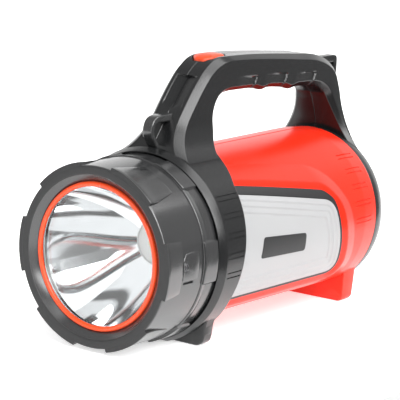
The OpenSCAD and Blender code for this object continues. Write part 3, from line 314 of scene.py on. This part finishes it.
link(dull.outputs["Result"], shader.inputs["Roughness"])
bowl_mouth, bowl_at, bowl_deep, bowl_wall = 41, 11.2, 39, 1.2
# The bowl's radius falls by 0.54 for each mm of depth at the mouth, and ever faster towards the lamp.
depth = np.linspace(0, bowl_deep, 60)
bowl = np.stack([bowl_mouth - 0.54 * depth - 7.44 * (depth / bowl_deep) ** 2, bowl_at + depth], 1)
back_wall = np.array([[12.5, 51.35], [13.7, 51.35], [13.9, 49.5]])
outer_wall = (bowl + [bowl_wall, 0.0])[::-1][2:-2]
flange = np.array([[42.2, 12.35], [46.0, 12.35], [46.0, 11.25], [40.98, 11.22], [40.98, 9.78], [40.9, 9.78]])
profile = np.concatenate([bowl, back_wall, outer_wall, flange])
turn = np.linspace(0, 360, 360, endpoint=False)
wave = (np.sin(np.radians(7 * turn + 40)) + 0.7 * np.sin(np.radians(11 * turn + 95))
        + 0.5 * np.sin(np.radians(23 * turn + 10)))
weight = np.zeros((len(profile), 1))
weight[:len(bowl), 0] = 0.012 * np.sin(np.pi * np.linspace(0.12, 1, len(bowl)))
wavy = on_axis(profile[:, 1:], profile[:, :1] + weight * wave, turn)
piece("reflector_form", [skin(wavy, rows=True, columns=True)], mirror, "lamp", "mirror_metal", "reflector")
bead = eased(np.array([[39.75, 5.0], [40.55, 5.45], [40.98, 7.16], [39.9, 7.16]]), 0.15, 2)
piece("bright_bead", [turned(bead)], mirror, "lamp", "mirror_metal")

# Lamp: a white round board with a large emitter under a clear dome, screwed on a finned aluminium heat sink.
# The board is painted, the emitter is coated with yellow phosphor, and the heat sink is bare metal.
board_white = moulded("board_white", (0.90, 0.90, 0.89), (0.95, 0.95, 0.94), 0.45, 900, 0.05)
phosphor = moulded("lamp_phosphor", (0.85, 0.74, 0.36), (0.92, 0.84, 0.50), 0.18, 700, 0.03)
aluminium = moulded("sink_aluminium", (0.50, 0.51, 0.53), (0.60, 0.61, 0.63), 0.42, 700, 0.15)
aluminium.node_tree.nodes["Principled BSDF"].inputs["Metallic"].default_value = 1.0
coat(board_white, "led_board")
coat(phosphor, "led_emitter")
coat(aluminium, "heat_sink")

# Collar: the black ring between head and housing. Six raised blocks stand in line with the lugs, and behind
# the seam a bevel falls to the channel between them. Moulded in the same glossy plastic as the head.
collar = np.array([[43, 12.4], [46, 12.4], [46, 33.1], [53.2, 33.1], [53.9, 33.5], [53.15, 37.8],
                   [53.6, 45.7], [51.8, 46.0], [51.8, 47.9], [51.2, 47.9], [51.2, 60], [43, 60]])
collar_skins = [turned(eased(collar, 0.35, 3))]
for middle in range(0, 360, 60):
    collar_skins += land([33.3, 45.6], [12.4, 12.4], [54.6, 54.6], 51.2, middle, 0.3, slope=4.5)
piece("collar_form", collar_skins, head_black, "lamp", "head_plastic", "collar_ring")

# Housing halves: shroud, handle, front foot, rear rim and rear strap lug are moulded together, split down
# the middle and screwed from the left. Black plastic with a fine spark-eroded grain; the handle has bevelled
# edges, and pairs of fine grooves run over the shroud.
grip_half, shroud_radius, seam_gap = 13.5, 57, 0.03


def curve(points, t):
    """Smooth curve through control points: between points b and c with neighbours a and d it is
    b + t/2 ((c - a) + t ((2a - 5b + 4c - d) + t (3 (b - c) + d - a)))."""
    i = np.clip(t.astype(int), 0, len(points) - 2)
    t = (t - i)[:, None]
    a, b, c, d = (points[np.clip(i + k, 0, len(points) - 1)] for k in (-1, 0, 1, 2))
    return b + 0.5 * t * ((c - a) + t * ((2 * a - 5 * b + 4 * c - d) + t * (3 * (b - c) + d - a)))


def flare(z, ring, blend):
    """Half width of the handle at a height: the grip's own, then an arc of the blend radius out to the ring,
    and below the height where they touch, the ring itself."""
    h = z - axis_height
    start = np.sqrt((ring + blend) ** 2 - (grip_half + blend) ** 2)
    arc = grip_half + blend - np.sqrt(np.maximum(blend ** 2 - (start - h) ** 2, 0))
    below = np.sqrt(np.maximum(ring ** 2 - h ** 2, 0))
    return np.where(h >= start, grip_half, np.where(h >= start * ring / (ring + blend), arc, below))


def slant(path, way):
    """Sine of the angle between a path and a direction at each of its points."""
    run = np.gradient(path, axis=0)
    run /= np.linalg.norm(run, axis=1, keepdims=True)
    return np.abs(run[:, 0] * way[:, 1] - run[:, 1] * way[:, 0])[:, None]


def filled(path, after, count):
    """Puts evenly spaced points on the straight leg that follows a point of the path."""
    share = np.linspace(0, 1, count + 2)[1:-1, None]
    legs = path[:, after:after + 1] * (1 - share) + path[:, after + 1:after + 2] * share
    return np.concatenate([path[:, :after + 1], legs, path[:, after + 1:]], 1)


grip_black = moulded("grip_black", (0.006, 0.0063, 0.0066), (0.009, 0.0094, 0.0098), 0.23, 3000, 0.16)
outer_points = np.array([[46, 102.5], [57, 117.5], [72, 137.4], [81.5, 148.3], [89, 154.9], [98, 159.4],
                         [110, 160.3], [140, 159.4], [180, 156.6], [206, 153.8], [224, 145.8], [231, 134],
                         [232, 120.4], [231, 103], [229, 91.5]])
inner_points = np.array([[83, 102.5], [92.3, 117], [94.6, 129.3], [97.5, 135.2], [102, 138.5], [108, 139.7],
                         [116, 139.8], [141, 139], [178, 136.4], [203, 134.6], [214.3, 129.6], [218.5, 122.8],
                         [222, 113.4], [224, 101], [224, 91.5]])
spans = [14, 14, 20, 20, 24, 26, 52, 60, 40, 24, 14, 14, 12, 8]
t = np.concatenate([k + np.arange(n) / n for k, n in enumerate(spans)] + [[14.0]])
outer, inner = curve(outer_points, t), curve(inner_points, t)
finger_ridges = np.array([143.0, 174.0])
near = np.clip(1 - np.abs(inner[:, :1] - finger_ridges) / 9, 0, 1).max(1)
inner[:, 1] -= 1.4 * near ** 2 * (3 - 2 * near)
way = inner - outer
deep = np.linalg.norm(way, axis=1, keepdims=True)
way /= deep
ring = np.where(t < 7, 56.96, np.interp(t, [11, 14], [51.36, 50.4]))[:, None]
blend = np.where(t < 7, 27.0, 60.0)[:, None]
bevel = np.interp(t, [0, 5, 6, 9, 14], [4.0, 3.8, 2.4, 3.8, 3.2])[:, None] / slant(outer, way)
bevel_in = np.interp(t, [0, 5, 6, 14], [4.3, 4.1, 3.5, 3.5])[:, None]
under_in = np.interp(t, [0, 6, 7, 8, 9, 10, 12, 14], [2.4, 2.4, 2.6, 3.0, 3.6, 3.6, 2.9, 2.6])[:, None]
under = under_in / slant(inner, way)
wide = [flare(outer[:, 1:] + way[:, 1:] * down, ring, blend) for down in (0, bevel, deep - under, deep)]
zero = 0 * deep
across = np.concatenate([zero, zero + 0.3, wide[0] - bevel_in, wide[1],
                         wide[2], wide[3] - under_in, zero + 0.3, zero], 1)
along = np.concatenate([zero + 0.45, zero, zero, bevel, deep - under, deep, deep, deep - 0.45], 1)
bends = np.array([0, 0.15, 0.4, 0.4, 0.4, 0.4, 0.15, 0])[:, None]
section = eased(np.stack([across, along], -1), bends, 4)
for after, count in ((24, 6), (19, 18), (9, 20)):
    section = filled(section, after, count)
side_x, down = section[..., 0], section[..., 1]
place = outer[:, None] + way[:, None] * down[..., None]
station, height = place[..., 0], place[..., 1]
on_top = down < 0.4
button_at = 104
from_button = np.abs(station - button_at)
octagon = np.maximum.reduce([side_x / 7.4, from_button / 10.4, (side_x + from_button) / 13.8])
well = on_top * np.clip((1.03 - octagon) / 0.05, 0, 1) * 5
low_edge = 130.8 + 1.9 * side_x / 7
groove = (0.6 + 1.3 * (1 - side_x / 7)) * np.clip((height - low_edge) / 4, 0, 1)
column = on_top * (side_x < 7.1) * (station < 92) * (height < 150.2) * groove
for begin, end, top in ((117.4, 135.4, 147.9), (145.3, 167.8, 147.2), (178, 199.9, 145.4)):
    from_top = top - 0.06 * (station - begin) - height
    rear_wall = end + 0.5 * (height - top + 5) - station
    pocket = np.clip((station - begin) / (end - begin), 0, 1) * np.clip(rear_wall / 0.9, 0, 1)
    pocket = pocket * np.clip(from_top / 0.4, 0, 1) * np.clip(1.6 - from_top / 8, 0.5, 1)
    section[..., 0] -= 1.1 * pocket * (side_x > 6)
place = outer[:, None] + way[:, None] * (down + well + column)[..., None]
grip = np.stack([section[..., 0], place[..., 0] - half_length, place[..., 1]], -1)

edge_height = [-3, 29.3, 51, 70.4, 92, 104, 111.5]
edge_station = [64.5, 64.5, 67.8, 70.9, 74.6, 82, 89.5]
groove_at = np.array([middle + step for middle in (35, 24.2, 13, 1.6, -9.8) for step in (-1.5, 1.5)])
special = (groove_at[:, None] + [-0.42, -0.28, 0.28, 0.42]).ravel()
even = np.linspace(-89.97, 89.97, 181)
turn = np.sort(np.append(even[np.abs(even[:, None] - special).min(1) > 0.25], special))[:, None]
rear_edge = np.interp(axis_height + shroud_radius * np.sin(np.radians(turn)), edge_height, edge_station)
flat = 0 * rear_edge
shroud_radii = [54.5, 54.9] + [shroud_radius] * 6 + [51.4, 51.4, 54.5]
shroud_stations = [flat + 45.8, flat + 45.8, flat + 50.6, flat + 52.2, flat + 52.5, rear_edge - 1.5,
                   rear_edge - 1.2, rear_edge, rear_edge, flat + 47.8, flat + 47.8]
corners = np.stack([flat + shroud_radii, np.concatenate(shroud_stations, 1)], -1)
profile = eased(corners, np.array([0.1, 0.15, 0.3, 0, 0, 0, 0, 0.7, 0.2, 0, 0])[:, None], 4)
in_groove = (profile[..., 0] > 56.9) & (profile[..., 1] > 52.4) & (profile[..., 1] < rear_edge - 1.4)
off_groove = np.abs(turn - groove_at).min(1, keepdims=True)
profile[..., 0] -= 0.55 * in_groove * np.clip((0.42 - off_groove) / 0.14, 0, 1)
shroud = on_axis(profile[..., 1], profile[..., 0], turn)
shroud[..., 2] = np.maximum(shroud[..., 2], 0.0)

foot_high = 30
foot = np.array([[seam_gap, foot_high], [seam_gap, 0], [35.5, 0], [39.0, 2.2], [40.3, 6.4], [40.8, 12.2],
                 [42.4, 17], [46.0, 23], [42, foot_high]])
foot = eased(foot, np.array([[0], [0], [1.5], [1.6], [2], [2.4], [2.4], [1], [1]]), 4)
step = np.array([54, 54.25, 55, 62, 62.75, 63])[:, None]
shrink = np.array([0.975, 0.99, 1, 1, 0.99, 0.975])[:, None]
foot = np.stack([foot[:, 0] * shrink, step + 0 * foot[:, 0] - half_length,
                 foot_high + (foot[:, 1] - foot_high) * shrink], -1)

share = np.linspace(0, 1, 17)
bow = np.stack([51.4 - 7.2 * share ** 2.2, 220 + 16.5 * share], 1)
rim = np.concatenate([[[39.7, 219.1], [50.9, 219.1], [51.4, 219.6]], bow,
                      [[42.2, 236.5], [41.7, 236.0], [41.7, 231], [39.7, 231]]])
rear_rim = on_axis(rim[:, 1], rim[:, 0], np.linspace(-89.97, 89.97, 145)[:, None])


def seen_from(polygon, middle, heading):
    """Points where rays from a middle point leave a polygon: for each edge from a to b the ray m + k u meets
    it at k = (a - m) x (b - a) / (u x (b - a)), and the nearest edge that it crosses counts."""
    def cross(p, q):
        return p[..., 0] * q[..., 1] - p[..., 1] * q[..., 0]
    a, b = polygon[None], np.roll(polygon, -1, 0)[None]
    ray = np.stack([np.cos(heading), np.sin(heading)], -1)[:, None]
    slope = cross(ray, b - a)
    slope = np.where(np.abs(slope) < 1e-9, 1e-9, slope)
    k = cross(a - middle, b - a) / slope
    share = cross(a - middle, ray) / slope
    k = np.where((k > 0) & (share > -1e-6) & (share < 1 + 1e-6), k, 1e9).min(1)
    return middle + k[:, None] * ray[:, 0]


def capped(points):
    """Tube of closed sections whose two ends are drawn together to their middle."""
    ends = [np.broadcast_to(points[k].mean(0), points[k].shape)[None] for k in (0, -1)]
    return skin(np.concatenate([ends[0], points, ends[1]]), columns=True)


def mirrored(skins):
    """The same skins on the other side of the lamp: x changes its sign."""
    return [(points * [-1, 1, 1], quads) for points, quads in skins]


lug_side = np.array([[217, 146.7], [222, 150.7], [241, 150.7], [241, 137.5], [226, 133.7], [221, 138.7]])
lug_side = eased(lug_side, np.array([[1], [1], [3.6], [4], [1], [1]]), 8)
eye_side = eased(np.array([[230.6, 140.1], [236.6, 140.1], [236.6, 146.3], [230.6, 146.3]]), 0.8, 5)
eye = np.array([233.6, 143.2])
heading = np.radians(np.linspace(0, 360, 180, endpoint=False))
lug_path, eye_path = seen_from(lug_side, eye, heading), seen_from(eye_side, eye, heading)
inward = (eye - lug_path) / np.linalg.norm(eye - lug_path, axis=1, keepdims=True)
outward = (eye_path - eye) / np.linalg.norm(eye_path - eye, axis=1, keepdims=True)
rows = [(lug_path, seam_gap), (lug_path, 2.5),
        (lug_path + 0.22 * inward, 3.05), (lug_path + 0.8 * inward, 3.25),
        (eye_path + 0.5 * outward, 3.25), (eye_path + 0.1 * outward, 3.05),
        (eye_path, 2.7), (eye_path, seam_gap)]
lug = np.stack([np.insert(path - [half_length, 0], 0, x, axis=1) for path, x in rows])

housing = [capped(grip), capped(shroud), capped(foot), capped(rear_rim), skin(lug, rows=True, columns=True)]
piece("housing_right_form", housing, grip_black, "lamp", "black_plastic", "handle_right")
piece("housing_left_form", mirrored(housing), grip_black, "lamp", "black_plastic", "handle_left")
coat(screw_zinc, "handle_screws")

# Front strap loop: a bent bar of gloss black plastic, flat in section and held between the housing halves.
# The hook of a strap goes into it.
loop_half, loop_thick = 3.5, 1.7
bar = np.array([[72, 127.4], [53, 127.5], [49.2, 125.8], [47.6, 119.4], [55.6, 108.8]])
share = np.linspace(0, 1, 30)[:, None]
bends = eased(bar, np.array([[0], [3.2], [3.0], [3.4], [0]]), 8)[9:36]
route = np.concatenate([bar[0] + share * (bends[0] - bar[0]), bends[1:-1],
                        bends[-1] + share * (bar[-1] - bends[-1])])
run = np.gradient(route, axis=0)
run /= np.linalg.norm(run, axis=1, keepdims=True)
normal = np.stack([-run[:, 1], run[:, 0]], 1)
thick = np.interp(np.arange(len(route)), [0, 28, 40, 57, 86], [4.6, 4.4, 3.4, 3.2, 3.0])
outline = np.array([[-1, -1], [1, -1], [1, 1], [-1, 1]]) * [loop_half, loop_thick]
outline = eased(outline, 1.1, 5) / [loop_half, loop_thick]
offset = outline[None, :, 1:] * (thick / 2)[:, None, None] * normal[:, None]
breadth = np.broadcast_to(outline[None, :, :1] * loop_half, (len(route), len(outline), 1))
loop = np.concatenate([breadth, route[:, None] + offset - [half_length, 0]], -1)
piece("strap_loop_form", [capped(loop)], head_black, "lamp", "head_plastic", "front_strap_loop")

# Push button: an orange-red cap with cut corners and a slightly crowned top, in a well on top of the grip. It
# presses a plunger on a small switch below.
cap = eased(np.array([[-3, -10], [3, -10], [7, -6], [7, 6], [3, 10], [-3, 10], [-7, 6], [-7, -6]]), 0.7, 4)
rows = np.array([(1, 155.0), (1, 159.8), (0.985, 160.25), (0.94, 160.6), (0.86, 160.9), (0.5, 161.4),
                 (0.2, 161.57)])
cap_at = cap * rows[:, :1, None]
cap_top = rows[:, 1:] - 0.015 * np.clip(-cap_at[..., 1], 0, None) ** 2
cap_skin = np.stack([cap_at[..., 0], cap_at[..., 1] + button_at - half_length, cap_top], -1)
# The cap is the same plastic as the accent ring, but its red is set darker: painted shade that offsets the
# strong top light falling on its upward face.
button_red_painted_shade = moulded("button_red_painted_shade", (0.58, 0.046, 0.008), (0.64, 0.056, 0.010), 0.36, 1500, 0.08)
piece("button_form", [capped(cap_skin)], button_red_painted_shade, "button", "orange_plastic", "push_button")
switch_black = moulded("switch_black", (0.014, 0.014, 0.015), (0.022, 0.022, 0.024), 0.5, 1500, 0.1)
board_green = moulded("board_green", (0.02, 0.11, 0.04), (0.04, 0.17, 0.07), 0.4, 500, 0.1, 200)
coat(switch_black, "switch_plunger", "tact_switch")
coat(board_green, "switch_board")

# Barrel halves: two red shells joined along the top and the flat underside. A soft ridge runs round the side
# lamp, pairs of fine grooves lie at the rear, and the rear foot is moulded on. Satin plastic with a slight
# orange cast.
side_front, side_rear, side_high, side_low = 62, 186, 43.0, 32.0
side_fall, side_lean, side_corner = 0.177, 0.26, 11.0
flat_below = 37.4


def barrel_radius(station):
    """Radius of the barrel: it grows slowly to the rear and is drawn in at its end."""
    return np.interp(station, [60.3, 86.3, 190, 205, 214, 219], [51, 51.2, 52.3, 52.4, 51.8, 51.4])


def ridge(station, arc):
    """Height of the ridge at a distance outside the side lamp, both unrolled on the barrel: an eased rise to
    a crest 1.7 high at 4, then a straight fall to a crease at 13.5, each drawn out by 1 / 0.7 above the lamp.
    Inside the lamp's edge is its seat, 2.2 deep."""
    low = np.maximum(side_corner - side_low - arc, 0)
    top = arc - side_high + side_fall * (station - side_front) + side_corner * (1 + side_fall)
    top = top / np.hypot(1, side_fall)
    back = (station - side_rear + side_lean * (arc + side_low) + side_corner) / np.hypot(1, side_lean)
    top = np.where(top > side_corner, side_corner + 0.7 * (top - side_corner), top)
    away = np.hypot(np.maximum(back, 0), np.maximum(low, np.maximum(top, 0))) - side_corner
    rise = np.clip(away / 4, 0, 1)
    seat = 2.2 * np.clip((-away - 0.5) / 0.9, 0, 1)
    return 1.7 * rise ** 2 * (3 - 2 * rise) * np.clip((13.5 - away) / 9.5, 0, 1) - seat


barrel_red = moulded("barrel_red", (0.66, 0.017, 0.004), (0.72, 0.022, 0.006), 0.30, 1800, 0.08, gloss=0.33)
groove_begin, groove_end, groove_ease = 195.2, 213.0, 0.4
groove_stations = [groove_begin, groove_begin + groove_ease, groove_end - groove_ease, groove_end]
station = np.sort(np.append(np.linspace(60.3, 219, 170), groove_stations))[:, None]
base = barrel_radius(station)
end_angle = -np.degrees(np.arcsin(flat_below / base))
groove_at = np.array([middle + step for middle in (47.6, 36, 24.4, 12.8, 1.2) for step in (-1.5, 1.5)])
special = (groove_at[:, None] + [-0.4, -0.26, 0.26, 0.4]).ravel()
even = np.linspace(89.3, -5, 140)
upper = np.sort(np.append(even[np.abs(even[:, None] - special).min(1) > 0.2], special))[::-1]
angle = np.concatenate([upper + 0 * base, -5 + np.linspace(0, 1, 66)[1:] * (end_angle + 5)], 1)
radius = base + ridge(station, base * np.radians(angle))
in_groove = np.clip((station - groove_begin) / groove_ease, 0, 1)
in_groove = in_groove * np.clip((groove_end - station) / groove_ease, 0, 1)
off_groove = np.abs(angle[..., None] - groove_at).min(-1)
radius -= 0.5 * in_groove * np.clip((0.4 - off_groove) / 0.14, 0, 1)
x, z = radius * np.cos(np.radians(angle)), np.maximum(radius * np.sin(np.radians(angle)), -flat_below)
share = np.linspace(1, 0, 14)[1:]
x = np.concatenate([0 * base + seam_gap, x, x[:, -1:] * share], 1)
z = np.concatenate([z[:, :1] - 0.5, z, 0 * base - flat_below + 0 * share], 1)
x[:, -1] = seam_gap
barrel = np.stack([x, station - half_length + 0 * x, axis_height + z], -1)
foot_high = 24.4
red_foot = np.array([[seam_gap, foot_high], [seam_gap, 0], [38.2, 0], [39.2, foot_high]])
red_foot = eased(red_foot, np.array([[0], [0], [4.2], [0.5]]), 7)
step = np.array([205, 205.2, 205.8, 215.4, 216.2, 218.7, 218.9])[:, None]
lift = np.array([0.7, 0.2, 0, 0, 0.4, 15, 19])[:, None]
shrink = np.array([0.985, 0.995, 1, 1, 1, 0.99, 0.98])[:, None]
red_foot = np.stack([red_foot[:, 0] * shrink, step + 0 * red_foot[:, 0] - half_length,
                     lift + red_foot[:, 1] * (foot_high - lift) / foot_high], -1)
barrel_skins = [capped(barrel), capped(red_foot)]
for name, halves in (("right", barrel_skins), ("left", mirrored(barrel_skins))):
    piece(f"barrel_{name}_form", halves, barrel_red, "lamp", "red_plastic", f"body_shell_{name}", crease=24)


# Side lamps: a frosted cover over a board of lamp chips on each flank, in a dark trim that is broad along the
# top. The cover is translucent white plastic with three shallow steps inside its edge.
def traced(corners, reach, count):
    """Closed path with rounded corners and a count of even points on each straight edge between them."""
    bends = eased(corners, reach, 12).reshape(len(corners), -1, 2)
    share = np.linspace(0, 1, count + 2)[1:-1, None]
    edges = bends[:, -1:] * (1 - share) + np.roll(bends[:, :1], -1, 0) * share
    return np.concatenate([bends, edges], 1).reshape(-1, 2)


def lamp_outline(low, top, back):
    """Outline of a side lamp on the unrolled barrel, set in by given widths at its lower, upper and other
    edges: four straight edges with the two rear corners rounded."""
    bottom, high, front = low - side_low, side_high - top, side_front + back
    rear_low = side_rear - side_lean * (bottom + side_low) - back
    rear_high = side_rear - back - side_lean * (side_low + high + side_fall * side_front)
    rear_high = rear_high / (1 - side_lean * side_fall)
    corners = np.array([[front, high - side_fall * back], [front, bottom], [rear_low, bottom],
                        [rear_high, high - side_fall * (rear_high - side_front)]])
    bend = max(side_corner - back, 1.5)
    return traced(corners, np.array([[0.2], [0.2], [bend * 1.1], [bend]]), 60)


def wrapped(flat, lift):
    """Wraps unrolled points on the barrel: the angle is the arc length over 51, the radius the barrel's plus
    a lift."""
    return on_axis(flat[..., 0], barrel_radius(flat[..., 0]) + lift, np.degrees(flat[..., 1] / 51.0))


trim_grey = moulded("trim_grey", (0.012, 0.0125, 0.013), (0.017, 0.0175, 0.018), 0.5, 2400, 0.12, gloss=0.4)
frosted = moulded("frosted_white", (0.328, 0.330, 0.333), (0.354, 0.356, 0.359), 0.45, 1600, 0.06, gloss=0.3)
shader = frosted.node_tree.nodes["Principled BSDF"]
shader.inputs["Subsurface Weight"].default_value = 0.25
shader.inputs["Subsurface Radius"].default_value = (0.004, 0.004, 0.004)
trim_side, trim_top = 2, 6.4
outside, inside = lamp_outline(0, 0, 0), lamp_outline(trim_side, trim_top, trim_side)
share = np.array([0, 0, 0.06, 0.14, 0.86, 0.94, 1, 1])[:, None, None]
lift = np.array([-2.0, 0.12, 0.34, 0.42, 0.42, 0.36, 0.2, -2.0])[:, None]
trim = [skin(wrapped(outside + share * (inside - outside), lift), rows=True, columns=True)]
cover_floor = -1.2
steps = [(0, -2.0), (0.02, 0.1), (0.2, 0.36), (0.6, 0.45), (3.0, 0.45), (4.1, -0.1), (6.6, -0.1),
         (7.7, -0.65), (10.4, -0.65), (11.5, cover_floor)]
rings = np.stack([lamp_outline(trim_side + d, trim_top + d, trim_side + d) for d, _ in steps])
heart = rings[-1].mean(0)
fill = heart + np.array([0.85, 0.6, 0.35, 0.12])[:, None, None] * (rings[-1] - heart)
lift = np.array([h for _, h in steps] + [cover_floor] * len(fill))[:, None]
cover = [capped(wrapped(np.concatenate([rings, fill]), lift))]
for name, trim_skin, cover_skin in (("right", trim, cover), ("left", mirrored(trim), mirrored(cover))):
    piece(f"side_trim_{name}_form", trim_skin, trim_grey, "lamp", "trim_plastic", f"side_trim_{name}")
    piece(f"side_cover_{name}_form", cover_skin, frosted, "lamp", "frosted_plastic", f"side_lens_{name}",
          crease=15)
    coat(board_white, f"side_leds_{name}")

# Name field: a plain dark inlay on the frosted cover of the right side, of the trim's plastic and left bare.
# It stands a little proud of the cover's floor.
field = traced(np.array([[95, -7.6], [141, -9.4], [141, 1.6], [97, 5.2]]), 2.2, 24)
middle = field.mean(0)
rows = [(1, -1.9), (1, -1.04), (0.985, -0.96), (0.96, -0.94), (0.6, -0.94), (0.2, -0.94)]
inlay = np.stack([middle + k * (field - middle) for k, _ in rows])
inlay = wrapped(inlay, np.array([h for _, h in rows])[:, None])
piece("name_field", [capped(inlay)], trim_grey, "lamp", "trim_plastic")

# Inside of the barrel and rear cap: two cells in a grey tray, the driver board and the leads to the lamp are
# held between the halves. The cap closes the rear rim and has the steel charging socket in it.
cell_blue = moulded("cell_blue", (0.03, 0.10, 0.30), (0.05, 0.14, 0.38), 0.3, 300, 0.04, 60)
tray_grey = moulded("tray_grey", (0.05, 0.052, 0.06), (0.07, 0.072, 0.08), 0.5, 1500, 0.15)
lead_red = moulded("lead_red", (0.32, 0.02, 0.015), (0.42, 0.03, 0.02), 0.5, 900, 0.1, 120)
socket_steel = moulded("socket_steel", (0.50, 0.50, 0.51), (0.60, 0.60, 0.61), 0.3, 900, 0.08, 200)
socket_steel.node_tree.nodes["Principled BSDF"].inputs["Metallic"].default_value = 1.0
coat(cell_blue, "battery_cells")
coat(tray_grey, "battery_tray")
coat(board_green, "driver_board")
coat(lead_red, "lamp_leads")
coat(socket_steel, "charge_socket")
coat(grip_black, "rear_cap")

# Studio: a lit white table under the lamp, and a pale room with brighter and darker walls, which the gloss
# and the mirror show. The camera sees the room as plain white. One large soft light hangs over the lamp.
scene = bpy.context.scene
scene.view_settings.view_transform = "Standard"
paper = bpy.data.materials.new("white_paper")
paper.use_nodes = True
nodes, link = paper.node_tree.nodes, paper.node_tree.links.new
shader = nodes["Principled BSDF"]
fibre, fade = nodes.new("ShaderNodeTexNoise"), nodes.new("ShaderNodeMapRange")
fibre.inputs["Scale"].default_value = 400
fade.inputs["To Min"].default_value, fade.inputs["To Max"].default_value = 0.88, 0.9
link(nodes.new("ShaderNodeTexCoord").outputs["Object"], fibre.inputs["Vector"])
link(fibre.outputs["Fac"], fade.inputs["Value"])
link(fade.outputs["Result"], shader.inputs["Base Color"])
shader.inputs["Roughness"].default_value = 0.6
shader.inputs["Specular IOR Level"].default_value = 0.2
shader.inputs["Emission Color"].default_value = (1, 1, 1, 1)
shader.inputs["Emission Strength"].default_value = 0.55
u, v = np.meshgrid(np.linspace(-3, 0.17, 25), np.linspace(-0.75, 3.5, 25), indexing="ij")
points, quads = skin(np.stack([u, v, 0 * u - 0.0002], -1))
floor_mesh = bpy.data.meshes.new("floor")
floor_mesh.from_pydata(points.tolist(), [], quads.tolist())
floor_mesh.materials.append(paper)
floor = bpy.data.objects.new("floor", floor_mesh)
scene.collection.objects.link(floor)
world = bpy.data.worlds.new("room")
scene.world = world
world.use_nodes = True
nodes, link = world.node_tree.nodes, world.node_tree.links.new
room = nodes["Background"]
room.inputs["Color"].default_value = (1, 1, 1, 1)
way, parts = nodes.new("ShaderNodeTexCoord"), nodes.new("ShaderNodeSeparateXYZ")
link(way.outputs["Generated"], parts.inputs["Vector"])


def worked(operation, first, second):
    """One step of arithmetic on the room: the operation on two values, each a socket or a number."""
    step = nodes.new("ShaderNodeMath")
    step.operation = operation
    for socket, value in zip(step.inputs, (first, second)):
        if isinstance(value, (int, float)):
            socket.default_value = value
        else:
            link(value, socket)
    return step.outputs[0]


def between(value, begin, end, low=0.0, high=1.0):
    """Goes evenly from low to high while a value goes from begin to end, and stays there outside them."""
    ramp = nodes.new("ShaderNodeMapRange")
    link(value, ramp.inputs["Value"])
    for name, number in (("From Min", begin), ("From Max", end), ("To Min", low), ("To Max", high)):
        ramp.inputs[name].default_value = number
    return ramp.outputs["Result"]


# Each wall goes from a first to a last turn, from straight ahead of the lamp to its right-hand side, and from
# a bottom to a top rise, in degrees. Its brightness comes last.
walls = [(-10, 24, -5, 46, 1.5), (0, 60, 47, 78, 2.2), (38, 92, 15, 52, 9.2), (-80, -18, -5, 60, 0.6),
         (-20, -11, 12, 38, 0.1), (26, 34, -14, 43, 0.1), (52, 95, -30, 9, 0.16), (46, 71, 5, 26, 0.16),
         (95, 165, 6, 55, 0.5), (95, 165, -60, 7, 0.4)]
per_radian, soft = 57.2958, 1.5
ahead = worked("MULTIPLY", parts.outputs["Y"], -1.0)
turn = worked("MULTIPLY", worked("ARCTAN2", parts.outputs["X"], ahead), per_radian)
rise = worked("MULTIPLY", worked("ARCSINE", parts.outputs["Z"], 0.0), per_radian)
glow = between(rise, 22, 40, 1.4, 0.45)
for first, last, bottom, top, bright in walls:
    mask = between(turn, first - soft, first + soft)
    mask = worked("MULTIPLY", mask, between(turn, last + soft, last - soft))
    mask = worked("MULTIPLY", mask, between(rise, bottom - soft, bottom + soft))
    mask = worked("MULTIPLY", mask, between(rise, top + soft, top - soft))
    rest = worked("MULTIPLY", glow, worked("SUBTRACT", 1.0, mask))
    glow = worked("ADD", rest, worked("MULTIPLY", mask, bright))
link(glow, room.inputs["Strength"])
backdrop = nodes.new("ShaderNodeBackground")
backdrop.inputs["Color"].default_value = (1, 1, 1, 1)
seen, either = nodes.new("ShaderNodeLightPath"), nodes.new("ShaderNodeMixShader")
link(seen.outputs["Is Camera Ray"], either.inputs[0])
link(room.outputs[0], either.inputs[1])
link(backdrop.outputs[0], either.inputs[2])
link(either.outputs[0], nodes["World Output"].inputs["Surface"])


def placed(data, right, up, back, spot):
    """Puts a light or a camera in the scene at a spot, with its right, up and backward directions."""
    stand = np.eye(4)
    stand[:3, :3] = np.stack([right, up, back], 1)
    stand[:3, 3] = spot
    made = bpy.data.objects.new(data.name, data)
    made.matrix_world = Matrix(stand.tolist())
    scene.collection.objects.link(made)
    return made


light_wide, light_high, light_bright = 1.1, 0.9, 3.8
light_at, light_aim = np.array([0.55, 0.3, 1.15]), np.array([0, -0.05, 0.08])
top_light = bpy.data.lights.new("top_light", "AREA")
top_light.shape = "RECTANGLE"
top_light.size, top_light.size_y = light_wide, light_high
top_light.energy = light_bright * np.pi * light_wide * light_high
back = (light_at - light_aim) / np.linalg.norm(light_at - light_aim)
right = np.cross([0, 0, 1], back)
right /= np.linalg.norm(right)
placed(top_light, right, np.cross(back, right), back, light_at)

# Camera: a little above the lamp, from in front and to its right, through a long lens. It is turned a little
# about its own line of sight.
a, e, roll = np.radians(35.73), np.radians(10.98), np.radians(2.32)
aim, distance = np.array([0.0, -0.0195, 0.0738]), 1.2278
back = np.array([np.sin(a) * np.cos(e), -np.cos(a) * np.cos(e), np.sin(e)])
right = np.array([np.cos(a), np.sin(a), 0.0])
up = np.array([-np.sin(a) * np.sin(e), np.cos(a) * np.sin(e), np.cos(e)])
right, up = np.cos(roll) * right + np.sin(roll) * up, np.cos(roll) * up - np.sin(roll) * right
lens = bpy.data.cameras.new("camera")
lens.lens, lens.sensor_width, lens.clip_start = 185.85, 36, 0.01
scene.camera = placed(lens, right, up, back, aim + distance * back)
